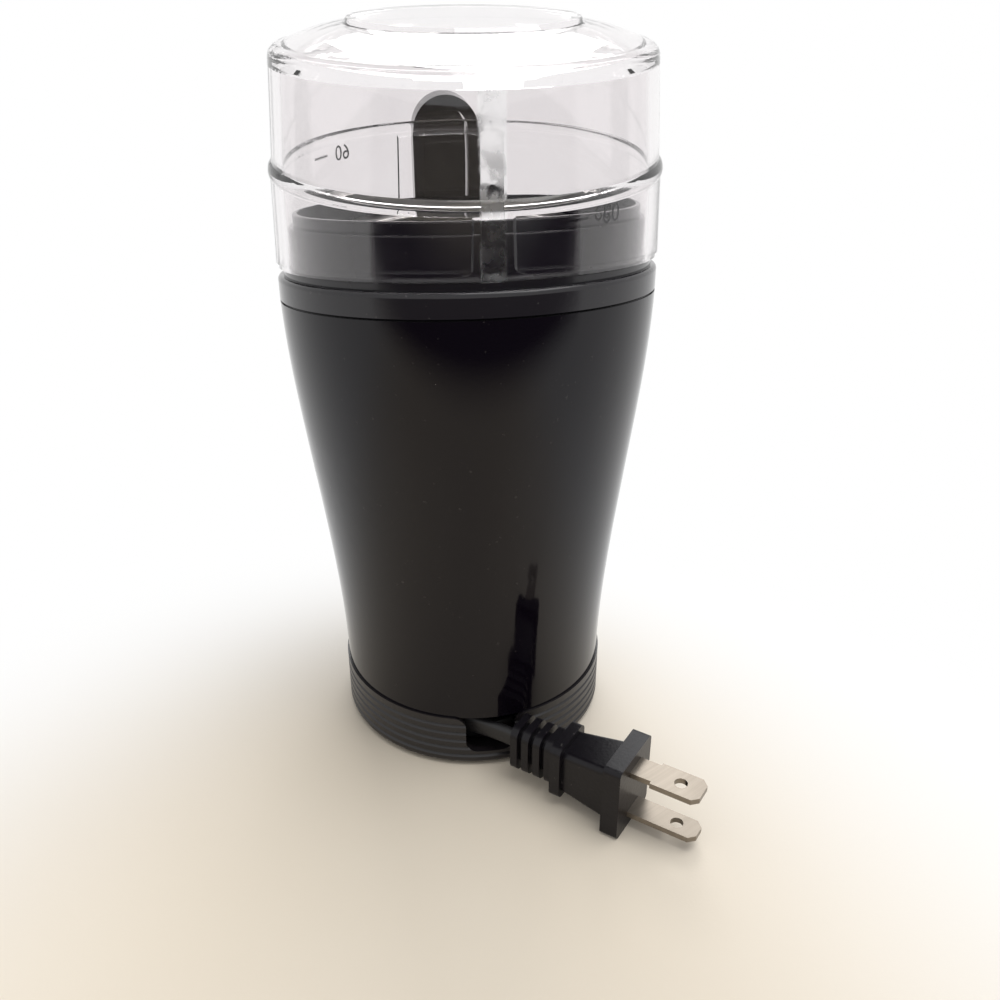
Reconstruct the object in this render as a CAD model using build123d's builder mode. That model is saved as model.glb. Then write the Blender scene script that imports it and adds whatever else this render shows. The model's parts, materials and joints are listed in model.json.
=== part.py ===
from build123d import *
from math import cos, pi, radians, sin, sqrt, tan
import os

# Electric spice grinder, in millimetres. The origin is on the table under the middle of the
# round base, +Z is up, -Y is the front, where the push button is, and +Y is the back, where the
# cord leaves the base.

os.makedirs("parts", exist_ok=True)

# ---------------------------------------------------------------- driving dimensions
# Outside of the body, from the table up.
foot_lift = 0.8
base_radius = 35.3
base_height = 15.5
body_foot_inset = 0.5
body_waist_swell = 2.2
body_bend_inset = 2.42
body_shoulder_radius = 43.3
rim_flare = 0.7
seam_height = 118.0
parting_slope = 10.3
body_wall = 2.3

# Base ring, cord store and feet.
base_wall = 2.2
base_lip = 1.0
deck_thickness = 2.0
flange_thickness = 1.8
flange_width = 9.8
hub_inset = 16.3
hub_wall = 2.0
notch_half_width = 6.4
notch_floor = 4.7
notch_flare = 3.2
notch_depth = 5.0
vent_count = 12
vent_length = 4.6
vent_width = 1.6
base_groove_count = 5
base_groove_depth = 0.35
foot_radius = 2.6
foot_count = 4

# Rim and neck above the body.
rim_band_height = 5.6
seam_gap_height = 0.5
seam_gap_depth = 0.9
lid_seat_height = 7.1
neck_height = 19.5
neck_wall = 2.3
spigot_depth = 5.0
spigot_step = 0.1
seat_step = 1.4
rim_round = 1.1
neck_round = 0.4
neck_step_height = 2.6
neck_step_depth = 1.2

# Lid. Its height is from the parting line of the body to its top.
lid_height = 59.5
lid_inset = 0.1
lid_wall = 2.2
lid_skirt_draft = 0.5
lid_waist_inset = 0.9
lid_shoulder_inset = 1.3
lid_shoulder_round = 2.5
lid_shoulder_rise = 2.5
lid_dome_rise = 7.2
lid_dome_swell = 0.5
lid_disc_radius = 24.8
lid_disc_rise = 1.0
lid_ceiling = 1.8
bead_rise = 9.8
bead_width = 3.8
bead_proud = 0.9
pad_proud = 0.5
pad_margin = 1.2
pad_corner = 2.4
tower_gap = 0.8
back_gap_half = 3.8
front_gap_half = 13.0
lid_rib_half = 2.2
lid_rib_depth = 1.0
lid_ledge = 0.8

# Button tower at the front.
tower_half_width = 9.0
tower_wall = 3.0
tower_drop = 20.0
tower_rise = 37.0
tower_depth = 8.7
paddle_thickness = 4.4
paddle_proud = 0.8
tower_round = 1.4
paddle_round = 1.2
paddle_gap = 0.35
thumb_radius = 26.0
thumb_depth = 2.0
thumb_drop = 22.0
shield_half_width = 5.2
shield_foot_half_width = 4.0
shield_thickness = 2.4
shield_top_drop = 9.0
shield_bend_drop = 19.0
shield_foot_drop = 24.0
hinge_pin_radius = 1.2
hinge_hub_wall = 1.6
pin_cover = 0.8

# Grinding bowl and blade.
bowl_depth = 43.8
bowl_corner = 9.0
bowl_sheet = 0.6
bowl_rim_rise = 9.8
bowl_flange = 5.9
bowl_edge_gap = 0.6
gasket_thickness = 1.0
ledge_thickness = 2.6
plate_thickness = 3.0
blade_gap = 5.5
blade_width = 8.5
blade_rake = 3.5
blade_sheet = 1.6
blade_lift = 9.0
blade_tip_pitch = 16.0
nut_height = 4.2
nut_cap = 1.2
seal_radius = 6.0
seal_lip = 2.5
seal_lip_height = 1.2
seal_foot_gap = 0.6

# Motor.
shaft_radius = 2.5
shaft_end_gap = 0.6
motor_room = 6.0
stator_flat_depth = 3.5
stator_iron = 8.4
air_gap = 0.6
armature_slots = 12
slot_length = 5.0
slot_width = 3.4
slot_mouth = 1.4
slot_inset = 3.6
winding_end = 5.0
winding_liner = 0.1
winding_inset = 1.5
winding_round = 1.8
commutator_step = 7.0
commutator_length = 10.5
commutator_gap = 2.0
commutator_groove = 0.5
commutator_groove_depth = 0.8
fan_clearance = 1.8
fan_blades = 9
coil_wire = 2.6
coil_bridge = 0.5
coil_spread = 7
end_turn_height = 5.2
fan_height = 4.0
fan_disc = 1.0
fan_gap = 0.6
fan_headroom = 0.65
fan_hub_wall = 3.0
fan_blade_inset = 7.2
fan_blade_sheet = 1.0
fan_blade_turn = 24
bearing_radius = 5.0
bearing_length = 6.5
strap_thickness = 2.5
strap_width = 14.0
mount_height = 4.5
bolt_inset = 2.9
bolt_radius = 1.5
bolt_boss_wall = 1.3
bolt_head_height = 1.4
bolt_head_overhang = 1.2
bearing_housing_wall = 2.2
boss_inset = 4.2
boss_radius = 3.2
post_radius = 2.2
pilot_radius = 1.1
head_height = 1.2
base_screw_length = 10.0
post_screw_length = 13.0
carrier_screw_length = 11.0
carrier_head_height = 0.8
carrier_head_overhang = 0.5
mount_outer = 12.0
mount_bore = 7.6
mount_rim = 1.2

# Brushes.
brush_side = 5.0
brush_gap = 0.15
brush_play = 0.1
holder_wall = 0.7
holder_gap = 2.2
holder_inset = 1.5
holder_foot = 3.6
brush_spring_length = 6.15

# Switch, rod and springs.
switch_wall_gap = 1.32
switch_width = 19.8
switch_depth = 6.4
switch_height = 10.2
switch_hole_offset = 4.75
switch_hole_drop = 7.2
switch_hole_radius = 1.1
terminal_offset = 7.5
terminal_width = 2.8
terminal_length = 3.2
terminal_sheet = 0.5
bracket_sheet = 1.6
bracket_flange = 7.5
plunger_radius = 1.0
plunger_height = 1.2
plunger_reach = 2.5
rod_radius = 1.5
rod_offset = 2.0
rod_foot_thickness = 1.8
rod_foot_drop = 2.3
spring_wire = 0.4
spring_radius = 1.7
spring_turns = 4
button_spring_radius = 1.1
button_spring_length = 6.0
shelf_thickness = 1.6
shelf_lug = 1.5
shelf_depth = 4.6
arm_room = 1.0
arm_half_height = 1.5
arm_half_width = 3.7

# Mains cord and plug: a flat twin cord and a two-blade plug.
cord_width = 5.2
cord_thickness = 2.7
cord_layers = 2
cord_turns = 3
cord_turn_pitch = 3.0
coil_hub_gap = 0.8
plug_heading = 139.8
plug_tail = (-6.4, 38.2)
plug_length = 33.0
relief_length = 13.0
plate_half_height = 10.5
plate_half_width = 8.6
plate_depth = 4.6
blade_spacing = 12.7
prong_width = 6.35
prong_thickness = 1.5
prong_length = 17.4
wide_prong_width = 7.9
wide_start = 5.4

relief_ribs = 4
relief_rib_gap = 1.3
relief_core_height = 9.45
relief_core_width = 6.2
rib_height = 13.2
rib_width = 9.4
collar_height = 15.6
collar_width = 13.0
collar_thickness = 2.8
grip_height = 12.6
grip_width = 10.6
grip_end_height = 15.6
grip_end_width = 13.2
prong_hole_radius = 1.6
prong_hole_reach = 11.7

# Where the cord comes up through the deck, and the clamp that holds it there.
gland_angle = 230
gland_inset = 4.2
gland_half_width = 4.6
gland_half_depth = 2.9
gland_height = 4.4
gland_collar = 1.4
gland_step = 0.8
gland_round = 2.0
clamp_screw_offset = 7.4
clamp_post_height = 5.0
clamp_post_radius = 2.2
clamp_pilot_radius = 1.0
clamp_thickness = 2.6
clamp_width = 5.2
lead_in_height = 10.5
wire_radius = 0.9
wire_wall_gap = 3.0
wire_stator_gap = 2.4
wire_bend = 4.0
wire_loop = 4.0
wire_boss_gap = 4.9

# Clearances.
fit = 0.2
slide_fit = 0.3
running_fit = 0.05

# ---------------------------------------------------------------- levels and circles from these
tilt = radians(parting_slope)
slope = tan(tilt)
deck_underside = base_height - deck_thickness
flange_top = foot_lift + flange_thickness
hub_radius = base_radius - hub_inset
flange_bore = base_radius - flange_width
body_foot_radius = base_radius - body_foot_inset
body_waist_radius = body_foot_radius + body_waist_swell
body_bend_radius = body_shoulder_radius - body_bend_inset
rim_radius = body_shoulder_radius + rim_flare
lid_radius = rim_radius - lid_inset
lid_waist_radius = lid_radius - lid_waist_inset
lid_shoulder_radius = lid_waist_radius - lid_shoulder_inset
lid_dome_radius = lid_shoulder_radius - lid_shoulder_round
rib_face = lid_radius - lid_wall - lid_ledge - lid_rib_depth
neck_radius = lid_radius - lid_wall - lid_skirt_draft - slide_fit
neck_bore = neck_radius - neck_wall
bowl_outer = neck_bore - bowl_edge_gap - bowl_flange
bowl_radius = bowl_outer - bowl_sheet
blade_reach = bowl_radius - blade_gap
spigot_radius = neck_radius - spigot_step
lid_edge = seam_height + lid_seat_height + slide_fit
neck_top = seam_height + neck_height
lid_top = seam_height + lid_height
lid_shoulder_height = lid_top - lid_dome_rise
bead_height = neck_top + bead_rise
tower_foot = seam_height - tower_drop
tower_top = seam_height + tower_rise
bowl_rim_height = seam_height + bowl_rim_rise
plate_top = bowl_rim_height - bowl_depth
plate_underside = plate_top - plate_thickness
ledge_top = bowl_rim_height - bowl_sheet - gasket_thickness
ledge_underside = ledge_top - ledge_thickness
post_circle = bowl_outer + fit + slide_fit + post_radius
plate_radius = post_circle + post_radius + slide_fit
stator_radius = body_foot_radius - body_wall - motor_room
stator_flat = stator_radius - stator_flat_depth
armature_radius = stator_radius - stator_iron - air_gap
commutator_radius = armature_radius - commutator_step
bolt_circle = stator_radius - bolt_inset
boss_circle = body_foot_radius - boss_inset
fan_radius = bolt_circle - bolt_radius - bolt_boss_wall - fan_clearance
fan_blade_circle = fan_radius - fan_blade_inset
lower_strap = base_height + mount_height
upper_strap_top = plate_underside - mount_height / 2
upper_strap = upper_strap_top - strap_thickness
# The iron stack fills what the bearings, the commutator, the windings and the fan leave.
stack_floor = lower_strap + bearing_length + commutator_gap + commutator_length + winding_end
fan_floor = upper_strap_top - bearing_length - fan_headroom - fan_height
stack_top = fan_floor - fan_gap - winding_end
stack_height = stack_top - stack_floor
blade_floor = plate_top + bowl_sheet + blade_lift
rod_x = -rod_offset
rod_y = -(bowl_outer + 2 * fit + 2 * rod_radius)
screw_head = bolt_radius + 0.9
post_screw_head = pilot_radius + 1.0
tower_back = lid_radius + tower_gap
tower_front = tower_back + tower_depth
pivot_y = -(tower_front - tower_depth / 2)
pivot_height = tower_foot + tower_half_width
arm_room_half_width = arm_half_width + arm_room
arm_room_half_height = arm_half_height + 2.5 * arm_room
BOSS_ANGLES = (35, 145, 215, 325)
POST_ANGLES = (45, 135, 225, 315)


def tilted(height):
    """The plane that crosses the axis at this height, parallel to the body's parting line."""
    return Plane(origin=(0, 0, height), x_dir=(1, 0, 0), z_dir=(0, -sin(tilt), cos(tilt)))


def around(radius, angle, height=0.0):
    """The point on a circle about the axis, at this angle from +X and this height."""
    return (radius * cos(radians(angle)), radius * sin(radians(angle)), height)


def body_profile(inset):
    """The points of the body's S-shaped side, moved in towards the axis by inset."""
    waist_height = base_height + 0.34 * (seam_height - base_height)
    bend_height = base_height + 0.66 * (seam_height - base_height)
    shoulder_height = base_height + 0.88 * (seam_height - base_height)
    top_height = seam_height + slope * rim_radius + 2
    return [
        (body_foot_radius - inset, base_height),
        (body_waist_radius - inset, waist_height),
        (body_bend_radius - inset, bend_height),
        (body_shoulder_radius - inset, shoulder_height),
        (rim_radius - inset, top_height),
    ]


def tilted_drum(radius, low, high):
    """A drum on the axis between two planes that are parallel to the parting line."""
    with BuildPart() as made:
        with BuildSketch(Plane.XY.offset(low - slope * radius - 1)):
            Circle(radius)
        extrude(amount=high - low + 2 * slope * radius + 2)
        split(bisect_by=tilted(low), keep=Keep.TOP)
        split(bisect_by=tilted(high), keep=Keep.BOTTOM)
    return made.part


def ring(plane, outer, inner, height):
    """A flat ring standing on a plane, as a part of its own."""
    with BuildPart() as made:
        with BuildSketch(plane):
            Circle(outer)
            Circle(inner, mode=Mode.SUBTRACT)
        extrude(amount=height)
    return made.part


def coil_spring(plane, radius, length, turns):
    """A round wire coil that stands on a plane and is a whole spring long."""
    with BuildPart() as made:
        with BuildLine():
            coil_line = Helix(
                pitch=(length - 2 * spring_wire) / turns,
                height=length - 2 * spring_wire,
                radius=radius,
                center=(0, 0, spring_wire),
            )
        with BuildSketch(Plane(origin=coil_line @ 0, z_dir=coil_line % 0)):
            Circle(spring_wire)
        sweep(path=coil_line, is_frenet=True)
    return plane.location * made.part


# ---------------------------------------------------------------- base
with BuildPart() as base_ring:
    with BuildSketch(Plane.XY.offset(foot_lift)):
        Circle(base_radius)
        Circle(flange_bore, mode=Mode.SUBTRACT)
    extrude(amount=base_height - foot_lift)
    with BuildSketch(Plane.XY.offset(flange_top)):
        Circle(base_radius - base_wall)
    extrude(amount=base_height, mode=Mode.SUBTRACT)
    with BuildSketch(Plane.XY.offset(deck_underside)):
        Circle(base_radius - base_wall + base_lip)
    extrude(amount=base_height, mode=Mode.SUBTRACT)
    fillet(base_ring.edges().group_by(Axis.Z)[0].sort_by(SortBy.RADIUS)[-1], radius=1.2)
    groove_pitch = (base_height - foot_lift) / (base_groove_count + 1)
    for index in range(base_groove_count):
        with BuildSketch(Plane.XZ):
            with Locations((base_radius, foot_lift + (index + 1) * groove_pitch)):
                Rectangle(2 * base_groove_depth, 2 * base_groove_depth, rotation=45)
        revolve(axis=Axis.Z, mode=Mode.SUBTRACT)
    with BuildSketch(Plane.XZ.offset(-base_radius - 1)):
        with Locations((0, base_height)):
            Rectangle(2 * (notch_half_width + notch_flare), 2 * notch_flare)
        with Locations(
            (notch_half_width + notch_flare, base_height - notch_flare),
            (-notch_half_width - notch_flare, base_height - notch_flare),
        ):
            Circle(notch_flare, mode=Mode.SUBTRACT)
        with Locations((0, notch_floor + base_height / 2)):
            RectangleRounded(2 * notch_half_width, base_height, 3)
    extrude(amount=base_radius - flange_bore, mode=Mode.SUBTRACT)
    with BuildSketch(Plane.XY.offset(foot_lift)):
        with PolarLocations((base_radius + flange_bore) / 2, foot_count, 45):
            Circle(foot_radius)
    extrude(amount=flange_thickness / 2, mode=Mode.SUBTRACT)
base_ring.part.label = "base_ring"
export_step(base_ring.part, "parts/base_ring.step")

with BuildPart() as rubber_feet:
    with BuildSketch():
        with PolarLocations((base_radius + flange_bore) / 2, foot_count, 45):
            Circle(foot_radius - running_fit)
    extrude(amount=foot_lift + flange_thickness / 2)
    fillet(rubber_feet.edges().group_by(Axis.Z)[0], radius=0.4)
rubber_feet.part.label = "rubber_feet"
export_step(rubber_feet.part, "parts/rubber_feet.step")

# The deck closes the base and its hub is the spool that the cord is wound on. Slots in it let
# the fan's air out, and a hole near the hub takes the cord's gland.
gland_circle = hub_radius + gland_inset
with BuildPart() as cord_spool:
    with BuildSketch(Plane.XY.offset(deck_underside)):
        Circle(base_radius - base_wall + base_lip - fit)
        with Locations((0, base_radius)):
            Rectangle(
                2 * (notch_half_width + notch_flare), 2 * notch_depth, mode=Mode.SUBTRACT
            )
    extrude(amount=deck_thickness)
    with BuildSketch(Plane.XY.offset(flange_top)):
        Circle(hub_radius)
        Circle(hub_radius - hub_wall, mode=Mode.SUBTRACT)
    extrude(amount=deck_underside - flange_top)
    with BuildSketch(Plane.XY.offset(deck_underside)):
        with PolarLocations(hub_radius - hub_wall - vent_length / 2 - fit, vent_count):
            SlotOverall(vent_length, vent_width)
        with Locations(Location(around(gland_circle, gland_angle), (0, 0, gland_angle))):
            RectangleRounded(2 * gland_half_depth, 2 * gland_half_width, gland_round)
        with Locations(*[around(boss_circle, angle) for angle in BOSS_ANGLES]):
            Circle(bolt_radius + fit)
    extrude(amount=deck_thickness, mode=Mode.SUBTRACT)
    with BuildSketch(Plane.XY.offset(deck_underside)):
        with Locations(*[around(boss_circle, angle) for angle in BOSS_ANGLES]):
            Circle(screw_head + fit)
    extrude(amount=head_height, mode=Mode.SUBTRACT)
    with BuildSketch(Plane.XY.offset(base_height)):
        for side in (-1, 1):
            with Locations(
                Location(around(gland_circle, gland_angle), (0, 0, gland_angle))
            ):
                with Locations((0, side * clamp_screw_offset)):
                    Circle(clamp_post_radius)
                    Circle(clamp_pilot_radius, mode=Mode.SUBTRACT)
    extrude(amount=clamp_post_height)
cord_spool.part.label = "cord_spool"
export_step(cord_spool.part, "parts/cord_spool.step")

# ---------------------------------------------------------------- body
with BuildPart() as body_room:
    with BuildSketch(Plane.XZ):
        with BuildLine():
            inner_side = Spline(*body_profile(body_wall))
            Polyline(
                inner_side @ 1, (0, (inner_side @ 1).Y), (0, base_height), inner_side @ 0
            )
        make_face()
    revolve(axis=Axis.Z)
    with BuildSketch(Plane.XY.offset(base_height)):
        for angle in BOSS_ANGLES:
            with Locations(Location(around(boss_circle, angle), (0, 0, angle))):
                Circle(boss_radius)
                Rectangle(rim_radius, body_wall, align=(Align.MIN, Align.CENTER))
    extrude(amount=plate_underside - base_height, mode=Mode.SUBTRACT)

with BuildPart() as seam_groove:
    add(tilted_drum(rim_radius + 1, seam_height - seam_gap_height, seam_height + 1))
    add(
        tilted_drum(rim_radius - seam_gap_depth, seam_height - 1, seam_height + 2),
        mode=Mode.SUBTRACT,
    )

with BuildPart() as body_shell:
    with BuildSketch(Plane.XZ):
        with BuildLine():
            outer_side = Spline(*body_profile(0))
            Polyline(
                outer_side @ 1, (0, (outer_side @ 1).Y), (0, base_height), outer_side @ 0
            )
        make_face()
    revolve(axis=Axis.Z)
    add(body_room.part, mode=Mode.SUBTRACT)
    split(bisect_by=tilted(seam_height), keep=Keep.BOTTOM)
    add(seam_groove.part, mode=Mode.SUBTRACT)
    with BuildSketch(Plane.XY.offset(base_height)):
        with Locations(*[around(boss_circle, angle) for angle in BOSS_ANGLES]):
            Circle(bolt_radius)
    extrude(amount=plate_underside - base_height, mode=Mode.SUBTRACT)
    with BuildSketch(Plane.XZ.offset(spigot_radius - 3)):
        with Locations((0, pivot_height)):
            Rectangle(2 * arm_room_half_width, 2 * arm_room_half_height)
            Rectangle(
                2 * arm_room_half_width, seam_height, align=(Align.CENTER, Align.MIN)
            )
    extrude(amount=rim_radius, mode=Mode.SUBTRACT)
body_shell.part.label = "body_shell"
export_step(body_shell.part, "parts/body_shell.step")

with BuildPart() as base_screws:
    for angle in BOSS_ANGLES:
        with BuildSketch(Plane(origin=around(boss_circle, angle, deck_underside))):
            Circle(screw_head)
        extrude(amount=head_height)
        with BuildSketch(Plane(origin=around(boss_circle, angle, deck_underside))):
            Circle(bolt_radius - running_fit)
        extrude(amount=base_screw_length)
        with BuildSketch(Plane(origin=around(boss_circle, angle, deck_underside))):
            Rectangle(0.5, 2.6)
            Rectangle(2.6, 0.5)
        extrude(amount=0.6, mode=Mode.SUBTRACT)
base_screws.part.label = "base_screws"
export_step(base_screws.part, "parts/base_screws.step")

# ---------------------------------------------------------------- carrier plate
with BuildPart() as carrier_plate:
    with BuildSketch(Plane.XY.offset(plate_underside)):
        Circle(plate_radius)
        Circle(seal_radius + 2, mode=Mode.SUBTRACT)
        with Locations(*[around(boss_circle, angle) for angle in BOSS_ANGLES]):
            Circle(bolt_radius + fit, mode=Mode.SUBTRACT)
        with Locations(*[around(post_circle, angle) for angle in POST_ANGLES]):
            Circle(pilot_radius + fit, mode=Mode.SUBTRACT)
        with Locations((rod_x, rod_y)):
            Circle(rod_radius + fit, mode=Mode.SUBTRACT)
            Rectangle(
                2 * (rod_radius + fit) - 0.4,
                plate_radius,
                align=(Align.CENTER, Align.MAX),
                mode=Mode.SUBTRACT,
            )
    extrude(amount=plate_thickness)
    with BuildSketch(Plane.XY.offset(plate_top)):
        with Locations(*[around(boss_circle, angle) for angle in BOSS_ANGLES]):
            Circle(bolt_radius + carrier_head_overhang + fit)
    extrude(amount=-carrier_head_height, mode=Mode.SUBTRACT)
    with BuildSketch(Plane.XY.offset(plate_underside)):
        Circle(mount_outer + mount_rim)
        Circle(mount_outer, mode=Mode.SUBTRACT)
    extrude(amount=-mount_height / 4)
carrier_plate.part.label = "carrier_plate"
export_step(carrier_plate.part, "parts/carrier_plate.step")

with BuildPart() as carrier_screws:
    for angle in BOSS_ANGLES:
        with BuildSketch(Plane(origin=around(boss_circle, angle, plate_top))):
            Circle(bolt_radius - running_fit)
        extrude(amount=-carrier_screw_length)
        with BuildSketch(Plane(origin=around(boss_circle, angle, plate_top))):
            Circle(bolt_radius + carrier_head_overhang)
        extrude(amount=-carrier_head_height)
carrier_screws.part.label = "carrier_screws"
export_step(carrier_screws.part, "parts/carrier_screws.step")

# ---------------------------------------------------------------- neck, rim and button tower
rim_top = seam_height + rim_band_height
lid_seat = seam_height + lid_seat_height
spigot_foot = seam_height - spigot_depth
tower_middle = (tower_foot + tower_top) / 2
tower_length = tower_top - tower_foot
shelf_top = pivot_height - arm_half_height - button_spring_length

with BuildPart() as rim_edge:
    add(tilted_drum(rim_radius, seam_height, rim_top))
    fillet(rim_edge.edges().sort_by(Axis.Z)[-1], radius=rim_round)

with BuildPart() as neck_edge:
    add(tilted_drum(neck_radius, lid_seat - 1, neck_top - neck_step_height))
    fillet(neck_edge.edges().sort_by(Axis.Z)[-1], radius=neck_round)

with BuildPart() as neck_lip:
    add(tilted_drum(neck_radius - neck_step_depth, lid_seat, neck_top))
    fillet(neck_lip.edges().sort_by(Axis.Z)[-1], radius=neck_round)

with BuildPart() as tower_frame:
    with BuildSketch(Plane.XZ.offset(neck_bore)):
        with Locations((0, tower_middle)):
            SlotOverall(tower_length, 2 * tower_half_width, rotation=90)
    extrude(amount=tower_front - neck_bore)
    fillet(tower_frame.faces().sort_by(Axis.Y)[0].edges(), radius=tower_round)
    with BuildSketch(Plane.XZ.offset(neck_bore)):
        with Locations((0, tower_middle)):
            SlotOverall(
                tower_length - 2 * tower_wall,
                2 * (tower_half_width - tower_wall),
                rotation=90,
            )
    extrude(amount=tower_front, mode=Mode.SUBTRACT)
    # Room for the lid above the rim and for the body below it.
    add(tilted_drum(tower_back, rim_top - rim_round, 2 * tower_top), mode=Mode.SUBTRACT)
    add(tilted_drum(rim_radius + slide_fit, 0, seam_height), mode=Mode.SUBTRACT)
    with BuildSketch(Plane.YZ.offset(pin_cover - tower_half_width)):
        with Locations((pivot_y, pivot_height)):
            Circle(hinge_pin_radius)
    extrude(amount=2 * (tower_half_width - pin_cover), mode=Mode.SUBTRACT)

with BuildPart() as neck_housing:
    add(rim_edge.part)
    add(tilted_drum(rim_radius - seat_step, rim_top - rim_round, lid_seat))
    add(neck_edge.part)
    add(neck_lip.part)
    add(tilted_drum(spigot_radius, spigot_foot, seam_height))
    with BuildSketch(Plane.XY.offset(spigot_foot - slope * rim_radius - 1)):
        Circle(neck_bore)
    extrude(amount=neck_top, mode=Mode.SUBTRACT)
    with BuildSketch(Plane.XY.offset(ledge_underside)):
        Circle(neck_bore + neck_wall / 2)
        Circle(bowl_outer + fit, mode=Mode.SUBTRACT)
    extrude(amount=ledge_thickness)
    with BuildSketch(Plane.XY.offset(plate_top)):
        with Locations(*[around(post_circle, angle) for angle in POST_ANGLES]):
            Circle(post_radius)
    extrude(amount=ledge_underside - plate_top)
    add(tower_frame.part)
    # The keyway at the back for the lid's rib.
    with BuildSketch(Plane.XY.offset(lid_seat + slope * neck_radius - neck_round)):
        with Locations((0, rib_face - slide_fit)):
            Rectangle(
                2 * (lid_rib_half + slide_fit), neck_wall, align=(Align.CENTER, Align.MIN)
            )
    extrude(amount=neck_height, mode=Mode.SUBTRACT)
    # The room for the button's arm, through the spigot.
    with BuildSketch(Plane.XZ.offset(bowl_outer)):
        with Locations((0, pivot_height - arm_room_half_height)):
            Rectangle(
                2 * arm_room_half_width,
                seam_height - slope * rim_radius - pivot_height + arm_room_half_height,
                align=(Align.CENTER, Align.MIN),
            )
    extrude(amount=rim_radius - bowl_outer, mode=Mode.SUBTRACT)
    # The shelf for the button's spring, hung from the spigot by two lugs, guides the rod.
    with BuildSketch(Plane.XY.offset(shelf_top - shelf_thickness)):
        with Locations((0, -neck_bore)):
            Rectangle(
                2 * (arm_room_half_width + shelf_lug), shelf_depth,
                align=(Align.CENTER, Align.MIN),
            )
        with Locations((rod_x, rod_y)):
            Circle(rod_radius + fit, mode=Mode.SUBTRACT)
    extrude(amount=shelf_thickness)
    with BuildSketch(Plane.XY.offset(shelf_top - shelf_thickness)):
        for side in (-1, 1):
            with Locations((side * (arm_room_half_width + shelf_lug / 2), -neck_bore)):
                Rectangle(shelf_lug, shelf_depth, align=(Align.CENTER, Align.MIN))
    extrude(amount=ledge_underside - shelf_top + shelf_thickness)
    # Pilot holes for the screws that come up through the carrier plate.
    with BuildSketch(Plane.XY.offset(plate_top)):
        with Locations(*[around(post_circle, angle) for angle in POST_ANGLES]):
            Circle(pilot_radius)
    extrude(amount=post_screw_length - plate_thickness + 2, mode=Mode.SUBTRACT)
neck_housing.part.label = "neck_housing"
export_step(neck_housing.part, "parts/neck_housing.step")

with BuildPart() as housing_screws:
    for angle in POST_ANGLES:
        with BuildSketch(Plane(origin=around(post_circle, angle, plate_underside))):
            Circle(pilot_radius - running_fit)
        extrude(amount=post_screw_length)
        with BuildSketch(Plane(origin=around(post_circle, angle, plate_underside))):
            Circle(post_screw_head)
        extrude(amount=-head_height)
housing_screws.part.label = "housing_screws"
export_step(housing_screws.part, "parts/housing_screws.step")

# ---------------------------------------------------------------- push button
paddle_front = tower_front + paddle_proud
paddle_back = paddle_front - paddle_thickness
with BuildPart() as power_button:
    with BuildSketch(Plane.XZ.offset(paddle_back)):
        with Locations((0, tower_middle)):
            SlotOverall(
                tower_length - 2 * tower_wall - 2 * paddle_gap,
                2 * (tower_half_width - tower_wall - paddle_gap),
                rotation=90,
            )
    extrude(amount=paddle_thickness)
    fillet(power_button.faces().sort_by(Axis.Y)[0].edges(), radius=paddle_round)
    # The hollow for the thumb.
    with BuildSketch(Plane.YZ.offset(-tower_half_width)):
        with Locations((thumb_depth - paddle_front - thumb_radius, tower_top - thumb_drop)):
            Circle(thumb_radius)
    extrude(amount=2 * tower_half_width, mode=Mode.SUBTRACT)
    # The shield shaped back of the hollow, towards the lid.
    with BuildSketch(Plane.XZ.offset(paddle_back - shield_thickness / 2)):
        with BuildLine():
            Polyline(
                (-shield_foot_half_width, tower_top - shield_foot_drop),
                (-shield_half_width, tower_top - shield_bend_drop),
                (-shield_half_width, tower_top - shield_top_drop),
                (shield_half_width, tower_top - shield_top_drop),
                (shield_half_width, tower_top - shield_bend_drop),
                (shield_foot_half_width, tower_top - shield_foot_drop),
                (-shield_foot_half_width, tower_top - shield_foot_drop),
            )
        make_face()
    extrude(amount=shield_thickness)
    # The hub on the hinge pin and the arm into the body.
    with BuildSketch(Plane.YZ.offset(-arm_room_half_width)):
        with Locations((pivot_y, pivot_height)):
            Circle(hinge_pin_radius + hinge_hub_wall)
    extrude(amount=2 * arm_room_half_width)
    with BuildSketch(Plane.YZ.offset(-arm_half_width)):
        with Locations((pivot_y, pivot_height)):
            Rectangle(
                rod_y + rod_radius - pivot_y,
                2 * arm_half_height,
                align=(Align.MIN, Align.CENTER),
            )
    extrude(amount=2 * arm_half_width)
    with BuildSketch(Plane.YZ.offset(-tower_half_width)):
        with Locations((pivot_y, pivot_height)):
            Circle(hinge_pin_radius + running_fit)
    extrude(amount=2 * tower_half_width, mode=Mode.SUBTRACT)
power_button.part.label = "power_button"
export_step(power_button.part, "parts/power_button.step")

with BuildPart() as hinge_pin:
    with BuildSketch(Plane.YZ.offset(pin_cover - tower_half_width)):
        with Locations((pivot_y, pivot_height)):
            Circle(hinge_pin_radius)
    extrude(amount=2 * (tower_half_width - pin_cover))
hinge_pin.part.label = "hinge_pin"
export_step(hinge_pin.part, "parts/hinge_pin.step")

spring_seat = (-rod_x, rod_y)
with BuildPart() as button_spring:
    add(
        coil_spring(
            Plane(origin=(*spring_seat, shelf_top)),
            button_spring_radius,
            button_spring_length,
            spring_turns,
        )
    )
button_spring.part.label = "button_spring"
export_step(button_spring.part, "parts/button_spring.step")

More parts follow.
